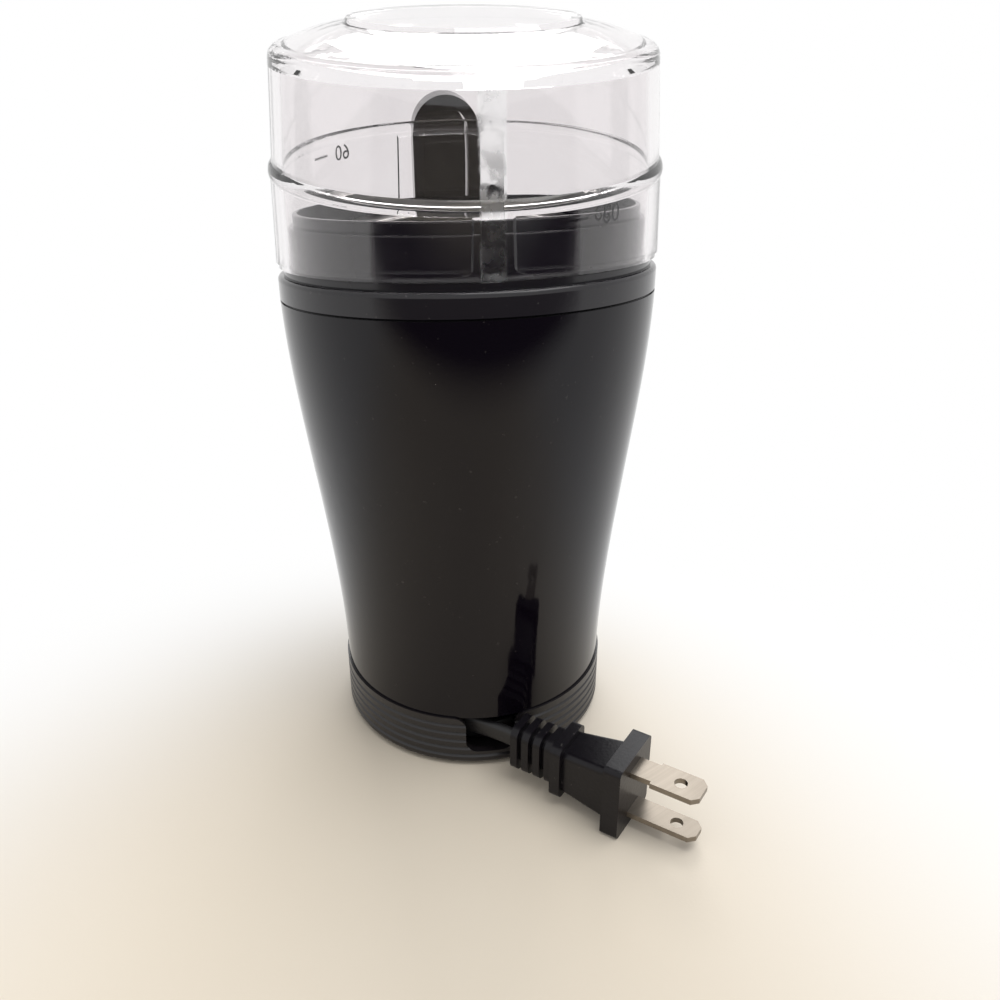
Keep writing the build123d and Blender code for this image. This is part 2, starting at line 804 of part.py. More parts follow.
# ---------------------------------------------------------------- switch and its rod
rod_top = pivot_height - arm_half_height - slide_fit
switch_wall = (body_waist_radius + body_bend_radius) / 2 - body_wall - switch_wall_gap
switch_y = switch_depth / 2 - sqrt(switch_wall ** 2 - (switch_width / 2) ** 2)
rod_foot = plate_underside - rod_foot_drop
plunger_foot = rod_foot - plunger_height
switch_top = plunger_foot
switch_foot = switch_top - switch_height
switch_holes = [
    (side * switch_hole_offset, switch_top - switch_hole_drop) for side in (-1, 1)
]
with BuildPart() as push_rod:
    with BuildSketch(Plane.XY.offset(rod_foot)):
        with Locations((rod_x, rod_y)):
            Circle(rod_radius)
    extrude(amount=rod_top - rod_foot)
    with BuildSketch(Plane.XY.offset(rod_foot)):
        with Locations((rod_x, rod_y - rod_radius)):
            Rectangle(
                2 * rod_radius,
                switch_y + plunger_radius + slide_fit - rod_y + rod_radius,
                align=(Align.CENTER, Align.MIN),
            )
    extrude(amount=rod_foot_thickness)
push_rod.part.label = "push_rod"
export_step(push_rod.part, "parts/push_rod.step")

with BuildPart() as switch_plunger:
    with BuildSketch(Plane.XY.offset(plunger_foot - plunger_reach)):
        with Locations((rod_x, switch_y)):
            Circle(plunger_radius)
    extrude(amount=plunger_height + plunger_reach)
    fillet(switch_plunger.edges().group_by(Axis.Z)[-1], radius=0.25)
switch_plunger.part.label = "switch_plunger"
export_step(switch_plunger.part, "parts/switch_plunger.step")

with BuildPart() as microswitch:
    with BuildSketch(Plane.XY.offset(switch_top)):
        with Locations((0, switch_y)):
            RectangleRounded(switch_width, switch_depth, 0.6)
    extrude(amount=-switch_height)
    with BuildSketch(Plane.XY.offset(switch_top)):
        with Locations((rod_x, switch_y)):
            Circle(plunger_radius + fit)
    extrude(amount=-plunger_reach - 2, mode=Mode.SUBTRACT)
    with BuildSketch(Plane.XZ.offset(-switch_y)):
        with Locations(*switch_holes):
            Circle(switch_hole_radius)
    extrude(amount=switch_depth, both=True, mode=Mode.SUBTRACT)
microswitch.part.label = "microswitch"
export_step(microswitch.part, "parts/microswitch.step")

with BuildPart() as switch_terminals:
    with BuildSketch(Plane.XY.offset(switch_foot)):
        with Locations((-terminal_offset, switch_y), (terminal_offset, switch_y)):
            Rectangle(terminal_sheet, terminal_width)
    extrude(amount=-terminal_length)
switch_terminals.part.label = "switch_terminals"
export_step(switch_terminals.part, "parts/switch_terminals.step")

bracket_face = switch_y + switch_depth / 2
with BuildPart() as switch_bracket:
    with BuildSketch(Plane.XY.offset(plate_underside)):
        with Locations((0, bracket_face)):
            Rectangle(switch_width, bracket_sheet, align=(Align.CENTER, Align.MIN))
    extrude(amount=switch_foot - plate_underside)
    with BuildSketch(Plane.XY.offset(plate_underside)):
        with Locations((0, bracket_face)):
            Rectangle(switch_width, bracket_flange, align=(Align.CENTER, Align.MIN))
    extrude(amount=-bracket_sheet)
    with BuildSketch(Plane.XZ.offset(-bracket_face)):
        with Locations(*switch_holes):
            Circle(switch_hole_radius - fit)
    extrude(amount=-bracket_sheet, mode=Mode.SUBTRACT)
switch_bracket.part.label = "switch_bracket"
export_step(switch_bracket.part, "parts/switch_bracket.step")

with BuildPart() as switch_screws:
    with BuildSketch(Plane.XZ.offset(-bracket_face - bracket_sheet)):
        with Locations(*switch_holes):
            Circle(switch_hole_radius - fit - running_fit)
    extrude(amount=switch_depth + bracket_sheet)
    with BuildSketch(Plane.XZ.offset(-bracket_face + switch_depth)):
        with Locations(*switch_holes):
            Circle(1.5 * switch_hole_radius)
    extrude(amount=head_height)
switch_screws.part.label = "switch_screws"
export_step(switch_screws.part, "parts/switch_screws.step")

# ---------------------------------------------------------------- grinding bowl and blade
with BuildPart() as grinding_bowl:
    with BuildSketch(Plane.XZ):
        with BuildLine():
            floor_line = Line((seal_radius, plate_top), (bowl_outer - bowl_corner, plate_top))
            corner = RadiusArc(
                floor_line @ 1, (bowl_outer, plate_top + bowl_corner), -bowl_corner
            )
            wall_line = Line(corner @ 1, (bowl_outer, bowl_rim_height - bowl_sheet))
            flange_line = Line(
                wall_line @ 1, (bowl_outer + bowl_flange, bowl_rim_height - bowl_sheet)
            )
            offset(amount=bowl_sheet, side=Side.LEFT, closed=True)
        make_face()
    revolve(axis=Axis.Z)
grinding_bowl.part.label = "grinding_bowl"
export_step(grinding_bowl.part, "parts/grinding_bowl.step")

with BuildPart() as bowl_gasket:
    add(
        ring(
            Plane.XY.offset(ledge_top),
            bowl_outer + bowl_flange,
            bowl_outer + fit + 0.6,
            gasket_thickness,
        )
    )
bowl_gasket.part.label = "bowl_gasket"
export_step(bowl_gasket.part, "parts/bowl_gasket.step")

with BuildPart() as shaft_seal:
    with BuildSketch(Plane.XY.offset(plate_underside + seal_foot_gap)):
        Circle(seal_radius - running_fit)
    extrude(amount=plate_thickness + bowl_sheet)
    with BuildSketch(Plane.XY.offset(plate_top + bowl_sheet)):
        Circle(seal_radius + seal_lip)
    extrude(amount=seal_lip_height, taper=20)
    with BuildSketch(Plane.XY.offset(plate_underside)):
        Circle(shaft_radius + running_fit)
    extrude(amount=2 * plate_thickness + seal_lip_height, mode=Mode.SUBTRACT)
shaft_seal.part.label = "shaft_seal"
export_step(shaft_seal.part, "parts/shaft_seal.step")

hub_floor = plate_top + bowl_sheet + seal_lip_height + slide_fit
blade_top = blade_floor + blade_sheet
with BuildPart() as blade_hub:
    with BuildSketch(Plane.XY.offset(hub_floor)):
        Circle(2 * shaft_radius)
        Circle(shaft_radius, mode=Mode.SUBTRACT)
    extrude(amount=blade_floor - hub_floor)
    chamfer(blade_hub.edges().filter_by(GeomType.CIRCLE).sort_by(SortBy.RADIUS)[-2:], 0.5)
blade_hub.part.label = "blade_hub"
export_step(blade_hub.part, "parts/blade_hub.step")

tip_start = 0.42 * blade_reach
with BuildPart() as blade:
    with BuildSketch(Plane.XY.offset(blade_floor)):
        Rectangle(2 * tip_start + 1, blade_width)
        Circle(0.6 * blade_width)
    extrude(amount=blade_sheet)
    # Each arm is pitched about its length and ends in a raked tip.
    for side in (0, 180):
        arm_plane = Plane(
            origin=around(tip_start, side, blade_floor + blade_sheet / 2),
            x_dir=around(1, side),
            z_dir=(0, -sin(radians(blade_tip_pitch)) * (1 if side else -1),
                   cos(radians(blade_tip_pitch))),
        )
        with BuildSketch(arm_plane):
            with BuildLine():
                Polyline(
                    (0, -blade_width / 2),
                    (blade_reach - tip_start, -blade_width / 2),
                    (blade_reach - tip_start - blade_rake, blade_width / 2),
                    (0, blade_width / 2),
                    (0, -blade_width / 2),
                )
            make_face()
        extrude(amount=blade_sheet / 2, both=True)
    with BuildSketch(Plane.XY.offset(blade_floor)):
        Circle(shaft_radius)
    extrude(amount=blade_sheet, mode=Mode.SUBTRACT)
blade.part.label = "blade"
export_step(blade.part, "parts/blade.step")

with BuildPart() as blade_nut:
    with BuildSketch(Plane.XY.offset(blade_top)):
        RegularPolygon(1.7 * shaft_radius, 6)
    extrude(amount=nut_height)
    with BuildSketch(Plane.XY.offset(blade_top)):
        Circle(shaft_radius)
    extrude(amount=nut_height - nut_cap, mode=Mode.SUBTRACT)
    chamfer(blade_nut.edges().group_by(Axis.Z)[-1], 0.6)
blade_nut.part.label = "blade_nut"
export_step(blade_nut.part, "parts/blade_nut.step")

# ---------------------------------------------------------------- motor: the turning parts
shaft_floor = lower_strap + shaft_end_gap
commutator_floor = stack_floor - winding_end - commutator_length
with BuildPart() as motor_shaft:
    with BuildSketch(Plane.XY.offset(shaft_floor)):
        Circle(shaft_radius)
    extrude(amount=blade_top + nut_height - nut_cap - 2 * running_fit - shaft_floor)
    chamfer(motor_shaft.edges().group_by(Axis.Z)[-1], 0.4)
motor_shaft.part.label = "motor_shaft"
export_step(motor_shaft.part, "parts/motor_shaft.step")

with BuildPart() as armature_core:
    with BuildSketch(Plane.XY.offset(stack_floor)):
        Circle(armature_radius)
        Circle(shaft_radius, mode=Mode.SUBTRACT)
        with PolarLocations(armature_radius - slot_inset, armature_slots):
            SlotOverall(slot_length, slot_width, mode=Mode.SUBTRACT)
        with PolarLocations(armature_radius, armature_slots):
            Rectangle(slot_width, slot_mouth, mode=Mode.SUBTRACT)
    extrude(amount=stack_height)
armature_core.part.label = "armature_core"
export_step(armature_core.part, "parts/armature_core.step")

with BuildPart() as armature_windings:
    for floor in (stack_floor - winding_end, stack_top):
        with BuildSketch(Plane.XZ):
            with Locations((shaft_radius + winding_inset, floor)):
                RectangleRounded(
                    armature_radius - shaft_radius - 2 * winding_inset,
                    winding_end,
                    winding_round,
                    align=(Align.MIN, Align.MIN),
                )
        revolve(axis=Axis.Z)
    with BuildSketch(Plane.XY.offset(stack_floor - winding_end / 2)):
        with PolarLocations(armature_radius - slot_inset, armature_slots):
            SlotOverall(slot_length - 2 * winding_liner, slot_width - 2 * winding_liner)
    extrude(amount=stack_height + winding_end)
armature_windings.part.label = "armature_windings"
export_step(armature_windings.part, "parts/armature_windings.step")

with BuildPart() as commutator:
    with BuildSketch(Plane.XY.offset(commutator_floor)):
        Circle(commutator_radius)
        Circle(shaft_radius, mode=Mode.SUBTRACT)
        with PolarLocations(commutator_radius, armature_slots):
            Rectangle(2 * commutator_groove_depth, commutator_groove, mode=Mode.SUBTRACT)
    extrude(amount=commutator_length)
commutator.part.label = "commutator"
export_step(commutator.part, "parts/commutator.step")

with BuildPart() as cooling_fan:
    with BuildSketch(Plane.XY.offset(fan_floor)):
        Circle(shaft_radius + fan_hub_wall)
    extrude(amount=fan_height)
    with BuildSketch(Plane.XY.offset(fan_floor + fan_height)):
        Circle(fan_radius)
    extrude(amount=-fan_disc)
    with BuildSketch(Plane.XY.offset(fan_floor)):
        with PolarLocations(fan_blade_circle, fan_blades):
            Rectangle(
                2 * (fan_radius - fan_blade_circle), fan_blade_sheet, rotation=fan_blade_turn
            )
    extrude(amount=fan_height - fan_disc / 2)
    with BuildSketch(Plane.XY.offset(fan_floor)):
        Circle(fan_radius)
    extrude(amount=fan_height, mode=Mode.INTERSECT)
    with BuildSketch(Plane.XY.offset(fan_floor)):
        Circle(shaft_radius)
    extrude(amount=fan_height, mode=Mode.SUBTRACT)
cooling_fan.part.label = "cooling_fan"
export_step(cooling_fan.part, "parts/cooling_fan.step")

# ---------------------------------------------------------------- motor: the standing parts
coil_window_circle = armature_radius + air_gap + coil_wire + coil_bridge
COIL_ANGLES = (38, 142, 218, 322)
with BuildPart() as field_stator:
    with BuildSketch(Plane.XY.offset(stack_floor)):
        Circle(stator_radius)
        Rectangle(2 * stator_radius, 2 * stator_flat, mode=Mode.INTERSECT)
        Circle(armature_radius + air_gap, mode=Mode.SUBTRACT)
        for angle in COIL_ANGLES:
            with Locations(around(coil_window_circle, angle)):
                Circle(coil_wire + fit, mode=Mode.SUBTRACT)
        with Locations((bolt_circle, 0), (-bolt_circle, 0)):
            Circle(bolt_radius + fit, mode=Mode.SUBTRACT)
    extrude(amount=stack_height)
field_stator.part.label = "field_stator"
export_step(field_stator.part, "parts/field_stator.step")

with BuildPart() as field_coils:
    with BuildSketch(Plane.XY.offset(stack_floor)):
        for angle in COIL_ANGLES:
            with Locations(around(coil_window_circle, angle)):
                Circle(coil_wire)
    extrude(amount=stack_height)
    for level in (stack_floor - end_turn_height, stack_top):
        with BuildSketch(Plane.XY.offset(level)):
            Circle(coil_window_circle + coil_wire)
            Circle(coil_window_circle - coil_wire, mode=Mode.SUBTRACT)
            with BuildSketch(mode=Mode.INTERSECT):
                for first, last in (COIL_ANGLES[:2], COIL_ANGLES[2:]):
                    Polygon(
                        (0, 0),
                        around(3 * coil_window_circle, first - coil_spread)[:2],
                        around(3 * coil_window_circle, (first + last) / 2)[:2],
                        around(3 * coil_window_circle, last + coil_spread)[:2],
                        align=None,
                    )
        extrude(amount=end_turn_height)
field_coils.part.label = "field_coils"
export_step(field_coils.part, "parts/field_coils.step")

with BuildPart() as upper_bracket:
    with BuildSketch(Plane.XY.offset(upper_strap)):
        SlotOverall(2 * stator_radius, strap_width)
    extrude(amount=strap_thickness)
    with BuildSketch(Plane.XY.offset(stack_top)):
        with Locations((bolt_circle, 0), (-bolt_circle, 0)):
            Circle(bolt_radius + bolt_boss_wall)
    extrude(amount=upper_strap - stack_top)
    with BuildSketch(Plane.XY.offset(upper_strap_top)):
        Circle(bearing_radius + bearing_housing_wall)
    extrude(amount=-bearing_length)
    with BuildSketch(Plane.XY.offset(upper_strap_top)):
        Circle(bearing_radius)
    extrude(amount=-bearing_length, mode=Mode.SUBTRACT)
    with BuildSketch(Plane.XY.offset(stack_top)):
        with Locations((bolt_circle, 0), (-bolt_circle, 0)):
            Circle(bolt_radius + fit)
    extrude(amount=upper_strap_top - stack_top, mode=Mode.SUBTRACT)
upper_bracket.part.label = "upper_bracket"
export_step(upper_bracket.part, "parts/upper_bracket.step")

brush_level = commutator_floor + commutator_length / 2
brush_bore = brush_side + 2 * brush_play
holder_start = commutator_radius + holder_gap
holder_end = stator_radius - holder_inset
holder_underside = brush_level - brush_bore / 2 - holder_wall
with BuildPart() as lower_bracket:
    with BuildSketch(Plane.XY.offset(lower_strap)):
        SlotOverall(2 * stator_radius, strap_width)
        SlotOverall(2 * holder_end, 0.7 * strap_width, rotation=90)
    extrude(amount=strap_thickness)
    with BuildSketch(Plane.XY.offset(lower_strap)):
        with Locations((bolt_circle, 0), (-bolt_circle, 0)):
            Circle(bolt_radius + bolt_boss_wall)
    extrude(amount=stack_floor - lower_strap)
    with BuildSketch(Plane.XY.offset(lower_strap)):
        with Locations((0, holder_end - holder_foot), (0, holder_foot - holder_end)):
            Rectangle(brush_side, holder_foot)
    extrude(amount=holder_underside - lower_strap)
    with BuildSketch(Plane.XY.offset(lower_strap)):
        Circle(bearing_radius + bearing_housing_wall)
    extrude(amount=bearing_length)
    with BuildSketch(Plane.XY.offset(lower_strap)):
        Circle(bearing_radius)
    extrude(amount=bearing_length, mode=Mode.SUBTRACT)
    with BuildSketch(Plane.XY.offset(lower_strap)):
        with Locations((bolt_circle, 0), (-bolt_circle, 0)):
            Circle(bolt_radius + fit)
    extrude(amount=stack_floor - lower_strap, mode=Mode.SUBTRACT)
lower_bracket.part.label = "lower_bracket"
export_step(lower_bracket.part, "parts/lower_bracket.step")

with BuildPart() as upper_bearing:
    add(
        ring(
            Plane.XY.offset(upper_strap_top - bearing_length),
            bearing_radius,
            shaft_radius + running_fit,
            bearing_length,
        )
    )
upper_bearing.part.label = "upper_bearing"
export_step(upper_bearing.part, "parts/upper_bearing.step")

with BuildPart() as lower_bearing:
    add(
        ring(
            Plane.XY.offset(lower_strap),
            bearing_radius,
            shaft_radius + running_fit,
            bearing_length,
        )
    )
lower_bearing.part.label = "lower_bearing"
export_step(lower_bearing.part, "parts/lower_bearing.step")

with BuildPart() as motor_bolts:
    with BuildSketch(Plane.XY.offset(lower_strap)):
        with Locations((bolt_circle, 0), (-bolt_circle, 0)):
            Circle(bolt_radius + bolt_head_overhang)
    extrude(amount=-bolt_head_height)
    with BuildSketch(Plane.XY.offset(lower_strap)):
        with Locations((bolt_circle, 0), (-bolt_circle, 0)):
            Circle(bolt_radius)
    extrude(amount=upper_strap_top - lower_strap)
motor_bolts.part.label = "motor_bolts"
export_step(motor_bolts.part, "parts/motor_bolts.step")

with BuildPart() as lower_mount:
    add(ring(Plane.XY.offset(base_height), mount_outer, mount_bore, mount_height))
lower_mount.part.label = "lower_mount"
export_step(lower_mount.part, "parts/lower_mount.step")

with BuildPart() as upper_mount:
    add(ring(Plane.XY.offset(upper_strap_top), mount_outer, mount_bore, mount_height / 2))
upper_mount.part.label = "upper_mount"
export_step(upper_mount.part, "parts/upper_mount.step")

# Each brush slides in a brass holder and a coil spring presses it on the commutator.
brush_face = commutator_radius + brush_gap
brush_back = holder_end - holder_wall - brush_spring_length
BRUSH_SIDES = (1, -1)
with BuildPart() as brush_holders:
    for side in BRUSH_SIDES:
        mouth = Plane(origin=(0, side * holder_start, brush_level), z_dir=(0, side, 0))
        with BuildSketch(mouth):
            Rectangle(brush_bore + 2 * holder_wall, brush_bore + 2 * holder_wall)
        extrude(amount=holder_end - holder_start)
        with BuildSketch(mouth):
            Rectangle(brush_bore, brush_bore)
        extrude(amount=holder_end - holder_start - holder_wall, mode=Mode.SUBTRACT)
brush_holders.part.label = "brush_holders"
export_step(brush_holders.part, "parts/brush_holders.step")

with BuildPart() as carbon_brushes:
    for side in BRUSH_SIDES:
        with BuildSketch(Plane(origin=(0, side * brush_face, brush_level), z_dir=(0, side, 0))):
            Rectangle(brush_side, brush_side)
        extrude(amount=brush_back - brush_face)
carbon_brushes.part.label = "carbon_brushes"
export_step(carbon_brushes.part, "parts/carbon_brushes.step")

with BuildPart() as brush_springs:
    for side in BRUSH_SIDES:
        seat = Plane(origin=(0, side * brush_back, brush_level), z_dir=(0, side, 0))
        add(coil_spring(seat, spring_radius, brush_spring_length, spring_turns))
brush_springs.part.label = "brush_springs"
export_step(brush_springs.part, "parts/brush_springs.step")

# ---------------------------------------------------------------- cord, gland and clamp
cord_level = plate_half_height
coil_inner = hub_radius + coil_hub_gap
coil_top = cord_level + cord_width / 2
coil_floor = coil_top - cord_layers * cord_width
coil_outer = coil_inner + cord_thickness + (cord_turns - 1) * cord_turn_pitch
with BuildPart() as cord_coil:
    add(
        ring(
            Plane.XY.offset(coil_floor), coil_outer, coil_inner, cord_layers * cord_width
        )
    )
cord_coil.part.label = "cord_coil"
export_step(cord_coil.part, "parts/cord_coil.step")

tail_turn = coil_outer - cord_thickness / 2
heading = Vector(*around(1, plug_heading))
tail_start = Vector(*around(tail_turn, plug_heading - 90, cord_level))
tail_end = Vector(*plug_tail, cord_level)
tail_run = 9.0
tail_points = [
    tail_start,
    tail_start + heading * tail_run,
    tail_end - heading * tail_run,
    tail_end,
]
tail_radii = []
for before, point, after in zip(tail_points, tail_points[1:], tail_points[2:]):
    turn = radians((point - before).get_angle(after - point))
    shorter = min((point - before).length, (after - point).length)
    tail_radii.append(0.45 * shorter / tan(turn / 2))
print("cord arc radii", [round(radius, 1) for radius in tail_radii])

with BuildPart() as cord_tail:
    with BuildLine():
        tail_line = FilletPolyline(*tail_points, radius=tail_radii)
    with BuildSketch(Plane(origin=tail_start, x_dir=(0, 0, 1), z_dir=heading)):
        SlotOverall(cord_width, cord_thickness)
    sweep(path=tail_line)
cord_tail.part.label = "cord_tail"
export_step(cord_tail.part, "parts/cord_tail.step")
mean_turn = (coil_inner + coil_outer) / 2
coil_length = 2 * pi * mean_turn * cord_turns * cord_layers
print("cord length", round(coil_length), "in the base and", round(tail_line.length, 1), "out of it")

gland_seat = Location(around(gland_circle, gland_angle), (0, 0, gland_angle))
gland_top = base_height + gland_height
lead_in_top = base_height + lead_in_height
with BuildPart() as cord_lead_in:
    with BuildSketch(Plane.XY.offset(coil_top)):
        with Locations(gland_seat):
            SlotOverall(cord_width, cord_thickness, rotation=90)
    extrude(amount=lead_in_top - coil_top)
cord_lead_in.part.label = "cord_lead_in"
export_step(cord_lead_in.part, "parts/cord_lead_in.step")

with BuildPart() as cord_gland:
    with BuildSketch(Plane.XY.offset(deck_underside)):
        with Locations(gland_seat):
            RectangleRounded(
                2 * (gland_half_depth - running_fit),
                2 * (gland_half_width - running_fit),
                gland_round - running_fit,
            )
    extrude(amount=gland_top - deck_underside)
    with BuildSketch(Plane.XY.offset(base_height)):
        with Locations(gland_seat):
            RectangleRounded(
                2 * (gland_half_depth + gland_step),
                2 * (gland_half_width + slide_fit),
                gland_round,
            )
    extrude(amount=gland_collar)
    with BuildSketch(Plane.XY.offset(deck_underside)):
        with Locations(gland_seat):
            SlotOverall(
                cord_width + 2 * running_fit, cord_thickness + 2 * running_fit, rotation=90
            )
    extrude(amount=gland_top, mode=Mode.SUBTRACT)
cord_gland.part.label = "cord_gland"
export_step(cord_gland.part, "parts/cord_gland.step")

clamp_seat = base_height + clamp_post_height
with BuildPart() as cord_clamp:
    with BuildSketch(Plane.XY.offset(clamp_seat)):
        with Locations(gland_seat):
            SlotOverall(2 * clamp_screw_offset + clamp_width, clamp_width, rotation=90)
            SlotOverall(
                cord_width + 2 * running_fit,
                cord_thickness + 2 * running_fit,
                rotation=90,
                mode=Mode.SUBTRACT,
            )
            with Locations((0, clamp_screw_offset), (0, -clamp_screw_offset)):
                Circle(clamp_pilot_radius + fit / 2, mode=Mode.SUBTRACT)
    extrude(amount=clamp_thickness)
cord_clamp.part.label = "cord_clamp"
export_step(cord_clamp.part, "parts/cord_clamp.step")

with BuildPart() as clamp_screws:
    with BuildSketch(Plane.XY.offset(base_height)):
        with Locations(gland_seat):
            with Locations((0, clamp_screw_offset), (0, -clamp_screw_offset)):
                Circle(clamp_pilot_radius - running_fit)
    extrude(amount=clamp_post_height + clamp_thickness)
    with BuildSketch(Plane.XY.offset(clamp_seat + clamp_thickness)):
        with Locations(gland_seat):
            with Locations((0, clamp_screw_offset), (0, -clamp_screw_offset)):
                Circle(2 * clamp_pilot_radius)
    extrude(amount=head_height)
clamp_screws.part.label = "clamp_screws"
export_step(clamp_screws.part, "parts/clamp_screws.step")

# ---------------------------------------------------------------- wires inside the body
terminal_foot = switch_foot - terminal_length
wire_rise = terminal_foot - lead_in_top
wire_y = -(stator_radius + wire_stator_gap)
wire_circle = body_foot_radius - body_wall - wire_wall_gap


def wire(points, radius):
    """A wire along straight runs joined by arcs of this radius."""
    with BuildPart() as made:
        with BuildLine():
            run = FilletPolyline(*points, radius=radius)
        with BuildSketch(Plane(origin=run @ 0, z_dir=run % 0)):
            Circle(wire_radius)
        sweep(path=run)
    return made.part


lead_x, lead_y, _ = around(gland_circle, gland_angle)
core_x, core_y, _ = around(cord_width / 4, gland_angle + 90)
with BuildPart() as live_wire:
    add(
        wire(
            [
                (lead_x + core_x, lead_y + core_y, lead_in_top),
                (lead_x + core_x, lead_y + core_y, lead_in_top + 5),
                (-10, wire_y, lead_in_top + 0.34 * wire_rise),
                (-8.5, wire_y, lead_in_top + 0.53 * wire_rise),
                (-terminal_offset, switch_y, terminal_foot - wire_bend),
                (-terminal_offset, switch_y, terminal_foot),
            ],
            2.2,
        )
    )
live_wire.part.label = "live_wire"
export_step(live_wire.part, "parts/live_wire.step")

with BuildPart() as neutral_wire:
    add(
        wire(
            [
                (lead_x - core_x, lead_y - core_y, lead_in_top),
                (lead_x - core_x, lead_y - core_y, lead_in_top + 3.5),
                around(wire_circle, 188, lead_in_top + 4.5),
                around(wire_circle, 168, lead_in_top + 5),
                around(wire_circle - wire_boss_gap, 128, lead_in_top + 6),
                (-6, holder_end + wire_loop, brush_level),
                (0, holder_end + wire_loop, brush_level),
                (0, holder_end, brush_level),
            ],
            1.9,
        )
    )
neutral_wire.part.label = "neutral_wire"
export_step(neutral_wire.part, "parts/neutral_wire.step")

with BuildPart() as switch_wire:
    add(
        wire(
            [
                (terminal_offset, switch_y, terminal_foot),
                (terminal_offset, switch_y, terminal_foot - wire_bend),
                (7.0, wire_y, brush_level + 2 * wire_loop),
                (5, -holder_end - wire_loop, brush_level),
                (0, -holder_end - wire_loop, brush_level),
                (0, -holder_end, brush_level),
            ],
            1.9,
        )
    )
switch_wire.part.label = "switch_wire"
export_step(switch_wire.part, "parts/switch_wire.step")

# ---------------------------------------------------------------- plug
plug_origin = Plane(origin=tail_end, x_dir=(0, 0, 1), z_dir=heading)
rib_pitch = relief_length / relief_ribs
body_start = relief_length + collar_thickness
plate_start = plug_length - plate_depth
with BuildPart() as plug_body:
    with BuildSketch(plug_origin):
        RectangleRounded(relief_core_height, relief_core_width, 2)
    extrude(amount=relief_length)
    for index in range(relief_ribs):
        with BuildSketch(plug_origin.offset(index * rib_pitch + relief_rib_gap / 2)):
            RectangleRounded(rib_height, rib_width, 2.6)
        extrude(amount=rib_pitch - relief_rib_gap)
    with BuildSketch(plug_origin.offset(relief_length)):
        RectangleRounded(collar_height, collar_width, 2)
    extrude(amount=collar_thickness)
    with BuildSketch(plug_origin.offset(body_start)):
        RectangleRounded(grip_height, grip_width, 1.6)
    with BuildSketch(plug_origin.offset(plate_start)):
        RectangleRounded(grip_end_height, grip_end_width, 1.6)
    loft()
    with BuildSketch(plug_origin.offset(plate_start)):
        RectangleRounded(2 * plate_half_height, 2 * plate_half_width, 1.4)
    extrude(amount=plate_depth)
    with BuildSketch(plug_origin.offset(plug_length)):
        with Locations((blade_spacing / 2, 0), (-blade_spacing / 2, 0)):
            Rectangle(prong_thickness, prong_width)
    extrude(amount=-plate_depth, mode=Mode.SUBTRACT)
plug_body.part.label = "plug_body"
export_step(plug_body.part, "parts/plug_body.step")

with BuildPart() as plug_blades:
    for side in (-1, 1):
        flank = Plane(
            origin=tail_end + Vector(0, 0, side * blade_spacing / 2),
            x_dir=heading,
            z_dir=(0, 0, 1),
        )
        with BuildSketch(flank):
            with Locations((plug_length - plate_depth, 0)):
                Rectangle(
                    plate_depth + prong_length,
                    prong_width,
                    align=(Align.MIN, Align.CENTER),
                )
            with Locations((plug_length + prong_hole_reach, 0)):
                Circle(prong_hole_radius, mode=Mode.SUBTRACT)
            if side > 0:
                with Locations((plug_length + wide_start, 0)):
                    Rectangle(
                        prong_length - wide_start,
                        wide_prong_width,
                        align=(Align.MIN, Align.CENTER),
                    )
                with Locations((plug_length + prong_hole_reach, 0)):
                    Circle(prong_hole_radius, mode=Mode.SUBTRACT)
        extrude(amount=prong_thickness / 2, both=True)
    tips = plug_blades.edges().filter_by(Axis.Z).group_by(Axis((0, 0, 0), heading))
    chamfer(tips[-1], prong_width / 4)
plug_blades.part.label = "plug_blades"
export_step(plug_blades.part, "parts/plug_blades.step")

# ---------------------------------------------------------------- lid
lid_foot = lid_edge - slope * lid_radius - 2
bead_low = bead_height - bead_width / 2
bead_high = bead_height + bead_width / 2
lid_hollow_radius = lid_waist_radius - lid_wall
with BuildPart() as lid_outside:
    with BuildSketch(Plane.XZ):
        with BuildLine():
            skirt = Line((lid_radius, lid_foot), (lid_waist_radius, bead_low))
            bead = ThreePointArc(
                skirt @ 1,
                (lid_waist_radius + bead_proud, bead_height),
                (lid_waist_radius, bead_high),
            )
            side_line = Line(bead @ 1, (lid_shoulder_radius, lid_shoulder_height))
            shoulder = TangentArc(
                side_line @ 1,
                (lid_dome_radius, lid_shoulder_height + lid_shoulder_rise),
                tangent=side_line % 1,
            )
            dome = ThreePointArc(
                shoulder @ 1,
                (
                    (lid_dome_radius + lid_disc_radius + 1) / 2,
                    ((shoulder @ 1).Y + lid_top - lid_disc_rise) / 2 + lid_dome_swell,
                ),
                (lid_disc_radius + 1, lid_top - lid_disc_rise),
            )
            Polyline(
                dome @ 1,
                (lid_disc_radius, lid_top),
                (0, lid_top),
                (0, lid_foot),
                (lid_radius, lid_foot),
            )
        make_face()
    revolve(axis=Axis.Z)

